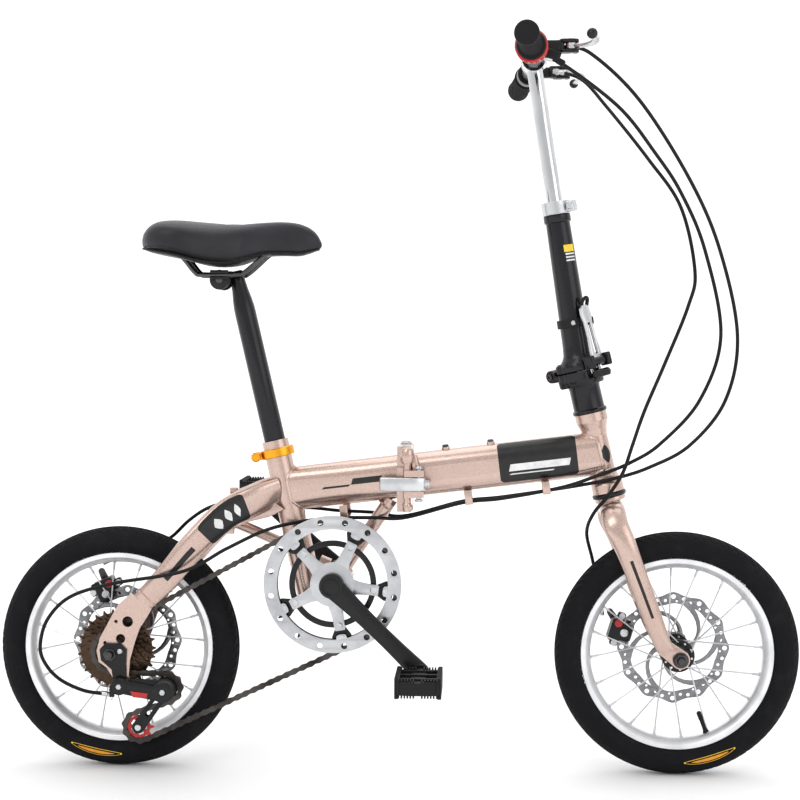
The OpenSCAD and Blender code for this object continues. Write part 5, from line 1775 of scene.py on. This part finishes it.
post = Shape()
post.lathe([(13, -111), (14.6, -111), (15, -110), (15, 186), (14.7, 194), (13.6, 205), (11.6, 218),
            (10.4, 230), (10, 242),
            (9, 246), (0, 246), (0, 200), (13, 190)], placed(seat_top, seat_up), 64, loop=True)
post.build("seat_post_tapered", STEM_BLACK, "seat", "black_metal", ("seat_post",))
saddle_top = spline([(-359, 743, 0), (-354, 760, 0), (-345, 772, 0), (-331, 779.4, 0), (-305, 780.5, 0),
                     (-276, 777.5, 0), (-247, 775, 0), (-219, 775.5, 0), (-190, 778.5, 0), (-161, 780, 0),
                     (-137, 777, 0), (-118, 767, 0), (-107.5, 751, 0), (-106, 744, 0)], 6)
saddle_low = spline([(-357, 736, 0), (-340, 731, 0), (-305, 724, 0), (-272, 715.5, 0), (-247, 713.5, 0),
                     (-221, 716.5, 0), (-190, 727, 0), (-160, 729, 0), (-136, 729, 0), (-112, 737, 0),
                     (-107, 741, 0)], 6)
saddle_wide = spline([(-359, 22, 0), (-354, 52, 0), (-343, 74, 0), (-322, 87, 0), (-298, 88, 0),
                      (-272, 76, 0),
                      (-244, 54, 0), (-216, 37, 0), (-186, 27, 0), (-156, 22, 0), (-130, 18, 0),
                      (-112, 10, 0),
                      (-106, 4, 0)], 6)


def along_x(curve, x):
    """A curve's second value where its first is x."""
    for a, b in zip(curve, curve[1:]):
        if a.x <= x <= b.x:
            return a.y + (b.y - a.y) * (x - a.x) / max(1e-9, b.x - a.x)
    return curve[0].y if x < curve[0].x else curve[-1].y


def saddle_ring(x, grow=0.0, crown=1.0):
    """A cross-section of the saddle: domed on top, rolled at its edge and nearly flat below."""
    top, low, wide = along_x(saddle_top, x), along_x(saddle_low, x), along_x(saddle_wide, x)
    edge = low + (top - low) * 0.40
    ring = []
    for k in range(48):
        t = 2 * math.pi * k / 48
        c, s = math.cos(t), math.sin(t)
        y = (wide + grow) * math.copysign(abs(c) ** 0.72, c)
        rise = (top + grow - edge) * abs(s) ** 0.62 * crown
        drop = (edge - low) * abs(s) ** 0.55
        ring.append((x, y, edge + rise if s > 0 else edge - drop))
    return ring


def saddle_form(grow=0.0, crown=1.0, start=-354.5, stop=-106.5, steps=56):
    places = [start + (stop - start) * 0.5 * (1 - math.cos(math.pi * i / steps)) for i in range(steps + 1)]
    return Shape().skin([saddle_ring(x, grow, crown) for x in places])


def cushion(name):
    """The padded cover. It is inflated as cloth over foam, so that it crowns and rolls at its edge."""
    pad = saddle_form(-2.0, 0.97).build(name, VINYL)
    lowest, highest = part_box("saddle")
    remesh = pad.modifiers.new("even", "REMESH")
    remesh.mode = "VOXEL"
    remesh.voxel_size = 0.0045
    apply_modifiers(pad)
    before = [v.co.copy() for v in pad.data.vertices]
    hold = pad.vertex_groups.new(name="base")
    for v in pad.data.vertices:
        rim = along_x(saddle_low, v.co.x / MM) * MM
        hold.add([v.index], max(0.0, min(1.0, 1 - (v.co.z - rim - 0.004) / 0.012)), "REPLACE")
    cloth = pad.modifiers.new("cover", "CLOTH")
    cloth.settings.quality = 6
    cloth.settings.mass = 0.2
    cloth.settings.tension_stiffness = cloth.settings.compression_stiffness = 22
    cloth.settings.bending_stiffness = 2.0
    cloth.settings.use_pressure = True
    cloth.settings.uniform_pressure_force = 4.0
    cloth.settings.vertex_group_mass = "base"
    cloth.settings.effector_weights.gravity = 0
    cloth.point_cache.frame_start, cloth.point_cache.frame_end = 1, 20
    for step in range(1, 21):
        bpy.context.scene.frame_set(step)
    apply_modifiers(pad)
    bpy.context.scene.frame_set(1)
    for v, old in zip(pad.data.vertices, before):
        moved = v.co - old
        if moved.length > 0.006:
            v.co = old + moved.normalized() * 0.006
        for axis in range(3):
            v.co[axis] = min(max(v.co[axis], lowest[axis] - 0.002), highest[axis] + 0.003)
    smooth = pad.modifiers.new("smooth", "SUBSURF")
    smooth.levels = smooth.render_levels = 1
    apply_modifiers(pad)
    for face in pad.data.polygons:
        face.use_smooth = True
    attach(pad, "seat")
    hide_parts("saddle")
    return pad


def apply_modifiers(obj):
    """Leaves obj's mesh as its modifiers make it."""
    bpy.context.view_layer.update()
    result = bpy.data.meshes.new_from_object(obj.evaluated_get(bpy.context.evaluated_depsgraph_get()))
    obj.modifiers.clear()
    obj.data = result


def saddle_trim():
    """The stitched welt where the cover meets its base, and the moulded base shell under it."""
    welt, shell = Shape(), Shape()
    line = []
    places = [-351 + 239 * 0.5 * (1 - math.cos(math.pi * i / 40)) for i in range(41)]
    for side in (1, -1):
        for x in places if side > 0 else reversed(places):
            top, low, wide = along_x(saddle_top, x), along_x(saddle_low, x), along_x(saddle_wide, x)
            line.append(Vector((x, side * (wide - 3.2), low + (top - low) * 0.07)))
    rings = []
    for i, p in enumerate(line):
        d = (line[(i + 1) % len(line)] - line[i - 1]).normalized()
        u = (Z - Z.dot(d) * d).normalized()
        v = d.cross(u)
        rings.append([p + 1.2 * (math.cos(t) * u + math.sin(t) * v) for t in (2 * math.pi * k / 10 for k in range(10))])
    welt.skin(rings, closed=True)
    welt.build("saddle_welt", PLASTIC, "seat", "saddle_vinyl")
    rings = []
    for x, inset, drop in [(-352 + 240 * i / 24, 9, 2.6) for i in range(25)]:
        wide, low = max(3, along_x(saddle_wide, x) - inset), along_x(saddle_low, x)
        rings.append([(x, wide * math.cos(t), low + 3 + drop * math.copysign(abs(math.sin(t)) ** 0.5,
            math.sin(t)))
                      for t in (2 * math.pi * k / 32 for k in range(32))])
    shell.skin(rings)
    shell.build("saddle_shell", PLASTIC, "seat", "saddle_vinyl")


def rails():
    """The rails, and the clamp that grips them on the post: barrel, serrated cheeks, clips and a bolt."""
    shape, clamp, bolt = Shape(), Shape(), Shape()
    for s in (-1, 1):
        path = [(-330, s * 30, 744), (-312, s * 26, 737), (-298, s * 23, 722), (-284, s * 22, 705),
                (-274, s * 22, 702),
                (-226, s * 22, 702), (-216, s * 21.5, 704), (-200, s * 20, 717), (-184, s * 17, 731),
                (-166, s * 13, 739)]
        shape.sweep(spline(path, 5), 3.5, 16)
    shape.build("saddle_rails_bent", DARK, "seat", "rail_steel", ("saddle_rails",))
    centre = Vector((-250, 0, 695))
    across = Matrix.Translation(centre) @ Matrix.Rotation(-math.pi / 2, 4, "X")
    clamp.lathe([(0, -17), (9, -17), (10.6, -16), (10.6, 16), (9, 17), (0, 17)], across, 40)
    for s in (-1, 1):
        cheek = Matrix.Translation(centre + Y * (s * 19)) @ Matrix.Rotation(-s * math.pi / 2, 4, "X")
        clamp.lathe([(0, -2.4), (13, -2.4), (14, -1.4), (14, 1.4), (12.4, 2.4), (0, 2.4)], cheek, 40)
        for k in range(20):
            clamp.block((1.4, 1.6, 4.4), cheek @ Matrix.Rotation(math.radians(18 * k), 4, "Z")
                        @ Matrix.Translation((13.4, 0, 0)), 0.5, 2)
        for z in (10.9, 2.9):
            clamp.block((26, 7.4, 5), Matrix.Translation(centre + Vector((0, s * 22, z))), 2.2)
        bolt.lathe([(0, 0), (5.4, 0), (5.4, 3), (4, 4), (0, 4)],
                   Matrix.Translation(centre + Y * (s * 21)) @ Matrix.Rotation(-s * math.pi / 2, 4, "X"), 6)
    clamp.build("saddle_clamp", BLACK, "seat", "black_alloy")
    bolt.build("saddle_clamp_bolt", DARK, "seat", "steel")


cushion("saddle_cover")
saddle_trim()
rails()


# ---------------------------------------------------------------- cables

FRONT_CABLE = spline([(227, 101, 1003), (262, 92, 990), (297, 78, 949), (354, 42, 870), (398, 18, 800),
                      (417, 4, 710),
                      (407, -6, 660), (374, -12, 578), (346, -24, 514), (328, -37, 465), (316, -40, 430),
                      (298, -39, 400),
                      (276, -28, 370), (269, 2, 340), (279, 34, 300), (288, 52, 262), (293, 60, 232),
                      (296, 60, 214)], 14)
REAR_CABLE = spline([(227, -101, 1003), (262, -98, 996), (330, -78, 936), (402, -50, 832), (446, -34, 737),
                     (472, -30, 620),
                     (457, -28, 530), (409, -27, 467), (354, -27, 436), (306, -27, 420), (244, -13, 406),
                     (150, 0, 390),
                     (93, 2, 383), (12, 8, 361), (-32, 20, 364), (-84, 22, 366), (-136, 36, 368),
                     (-190, 12, 362),
                     (-240, 0, 376), (-270, 6, 370), (-301, 24, 350), (-332, 42, 322), (-372, 56, 300),
                     (-410, 66, 292),
                     (-436, 68, 280)], 14)
SHIFT_CABLE = spline([(200, -122, 986), (228, -118, 976), (303, -84, 925), (354, -54, 868), (392, -36, 815),
                      (427, -24, 737),
                      (451, -18, 620), (423, -20, 530), (369, -24, 469), (327, -27, 442), (285, -29, 425),
                      (232, -21, 406),
                      (150, -12, 389), (93, -10, 382), (12, -8, 360), (-32, -21, 361), (-84, -20, 360),
                      (-130, -30, 356),
                      (-180, -46, 345), (-234, -60, 320), (-292, -76, 290), (-388, -82, 273),
                      (-448, -82, 254),
                      (-480, -82, 223), (-491, -82, 188), (-486, -82, 163), (-465, -82, 139),
                      (-431, -78, 122),
                      (-396, -72, 116)], 14)


def first_past(path, test, start=0):
    for i in range(start, len(path)):
        if test(path[i]):
            return i
    return len(path) - 1


def run(name, path, first, last, bodies, ends=None, node=None):
    """One stretch of a cable. It rides one body; a stretch between two bodies that a joint joins rides none and stays
    where it is built.
    """
    shape = Shape().sweep(path[max(0, first):last + 1], 2.5, 14)
    piece = shape.build(name, HOUSING, bodies[0] if len(bodies) == 1 else None, "cable_housing",
                        (node,) if node else ())
    if len(bodies) == 2:
        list(bodies)
        Vector(ends[0]) * MM
        Vector(ends[1]) * MM
        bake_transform(piece)
    return piece


def upper_run(name, path, node):
    """From the bar, past the mast's slide and the stem's fold, to the fork."""
    a = first_past(path, lambda p: p.z < 835)
    b = first_past(path, lambda p: p.z < 645, a)
    run(name + "_mast", path, 0, a, ("mast", "stem_upper"), ((0, 0, 960), (0, 0, 850)), node)
    run(name + "_stem", path, a, b, ("stem_upper", "fork"), ((0, 0, 820), (0, 0, 660)))
    return b


def cables():
    ferrules = {}

    def ferrule(body, path, i, j, long=11, r=3.4):
        shape = ferrules.setdefault(body, Shape())
        p, q = path[i], path[j]
        d = (q - p).normalized()
        shape.lathe([(0, -1.0), (r - 0.4, -1.0), (r, 0), (r, long - 1.6), (r - 0.7, long), (2.4, long)],
                    placed(p, d), 22)

    b = upper_run("front_cable", FRONT_CABLE, "front_brake_cable")
    run("front_cable_fork", FRONT_CABLE, b, len(FRONT_CABLE) - 1, ("fork",))
    ferrule("mast", FRONT_CABLE, 0, 5)
    ferrule("fork", FRONT_CABLE, -1, -3)

    for name, path, node in (("rear_cable", REAR_CABLE, "rear_brake_cable"),
                             ("shift_line", SHIFT_CABLE, "shift_cable")):
        b = upper_run(name, path, node)
        c = first_past(path, lambda p: p.z < 470, b)
        run(name + "_loop", path, b, c, ("fork", "front_frame"), ((0, 0, 635), (0, 0, 480)))
        d = first_past(path, lambda p: p.x < 75, c)
        run(name + "_front", path, c, d, ("front_frame",))
        e = first_past(path, lambda p: p.x < -55, d)
        run(name + "_fold", path, d, e, ("front_frame", "rear_frame"), ((60, 0, 370), (-45, 0, 370)))
        run(name + "_rear", path, e, len(path) - 1, ("rear_frame",))
        ferrule("mast", path, 0, 5)
        ferrule("rear_frame", path, -1, -3)
    for body, shape in ferrules.items():
        shape.build("cable_ends_" + body, SILVER, body, "steel")


cables()


# ---------------------------------------------------------------- studio

def camera():
    """The camera, fitted to the wheels: low, in front of the cranks and a little to the left."""
    yaw, pitch, roll = 0.050, 0.040, 0.004
    eye = Vector((0.12046, -2.32683, 0.61947))
    ahead = Vector((-math.sin(yaw), math.cos(yaw), 0))
    right = Vector((math.cos(yaw), math.sin(yaw), 0))
    look = ahead * math.cos(pitch) - Z * math.sin(pitch)
    up = Z * math.cos(pitch) + ahead * math.sin(pitch)
    right, up = right * math.cos(roll) + up * math.sin(roll), up * math.cos(roll) - right * math.sin(roll)
    data = bpy.data.cameras.new("camera")
    data.lens = 74.08
    data.sensor_width = 36
    data.clip_end = 50
    holder = bpy.data.objects.new("camera", data)
    holder.matrix_world = Matrix.Translation(eye) @ Matrix((right, up, -look)).transposed().to_4x4()
    bpy.context.scene.collection.objects.link(holder)
    bpy.context.scene.camera = holder


def area_light(name, at, target, size, power):
    data = bpy.data.lights.new(name, "AREA")
    data.shape = "RECTANGLE"
    data.size, data.size_y = size
    data.energy = power
    lamp = bpy.data.objects.new(name, data)
    lamp.matrix_world = Matrix.Translation(at) @ turn_to(Vector(at) - Vector(target))
    bpy.context.scene.collection.objects.link(lamp)


def studio():
    """A pale floor, painted to glow more strongly further out, and a bright, even room with three soft lights."""
    world = bpy.data.worlds.new("studio")
    world.use_nodes = True
    tree = world.node_tree
    place = tree.nodes.new("ShaderNodeTexCoord")
    split = tree.nodes.new("ShaderNodeSeparateXYZ")
    shade = tree.nodes.new("ShaderNodeMapRange")
    for key, value in (("From Min", -0.9), ("From Max", 0.5), ("To Min", 0.68), ("To Max", 1.0)):
        shade.inputs[key].default_value = value
    tree.links.new(place.outputs["Generated"], split.inputs[0])
    tree.links.new(split.outputs[1], shade.inputs["Value"])
    tree.links.new(shade.outputs[0], tree.nodes["Background"].inputs[0])
    bpy.context.scene.world = world
    area_light("key", (-1.4, -2.6, 2.8), (0, 0, 0.45), (2.4, 1.6), 22)
    area_light("fill", (2.4, -2.2, 1.4), (0, 0, 0.45), (1.4, 2.2), 9)
    area_light("top", (0.2, 0.6, 3.2), (0, 0, 0.4), (2.6, 2.6), 16)
    bpy.context.scene.view_settings.view_transform = "Standard"
    bpy.context.scene.view_settings.look = "Medium High Contrast"
    floor = Shape()
    floor.add([(-9000, -9000, -0.3), (9000, -9000, -0.3), (9000, 9000, -0.3), (-9000, 9000, -0.3)],
              [[0, 1, 2, 3]])
    n = Nodes("pale_floor_painted_glow")
    soft = n.noise(1.2, 3)
    far = n.new("ShaderNodeVectorMath", operation="LENGTH")
    n.link(n.place, far.inputs[0])
    # Painted light: the floor glows white as if lit, from none within 1 m of the middle up to a strength of 0.3 at 4 m,
    # so that it fades into the pale room.
    painted_glow = n.span(far.outputs["Value"], 1.0, 4.0, 0.0, 0.3)
    n.finish(n.blend(soft, (0.95, 0.95, 0.955), (0.98, 0.98, 0.98)), n.span(soft, 0.3, 0.7, 0.55, 0.7),
             Emission_Color=(1, 1, 1, 1))
    n.link(painted_glow, n.shader.inputs["Emission Strength"])
    floor.build("floor", n.material)


camera()
studio()
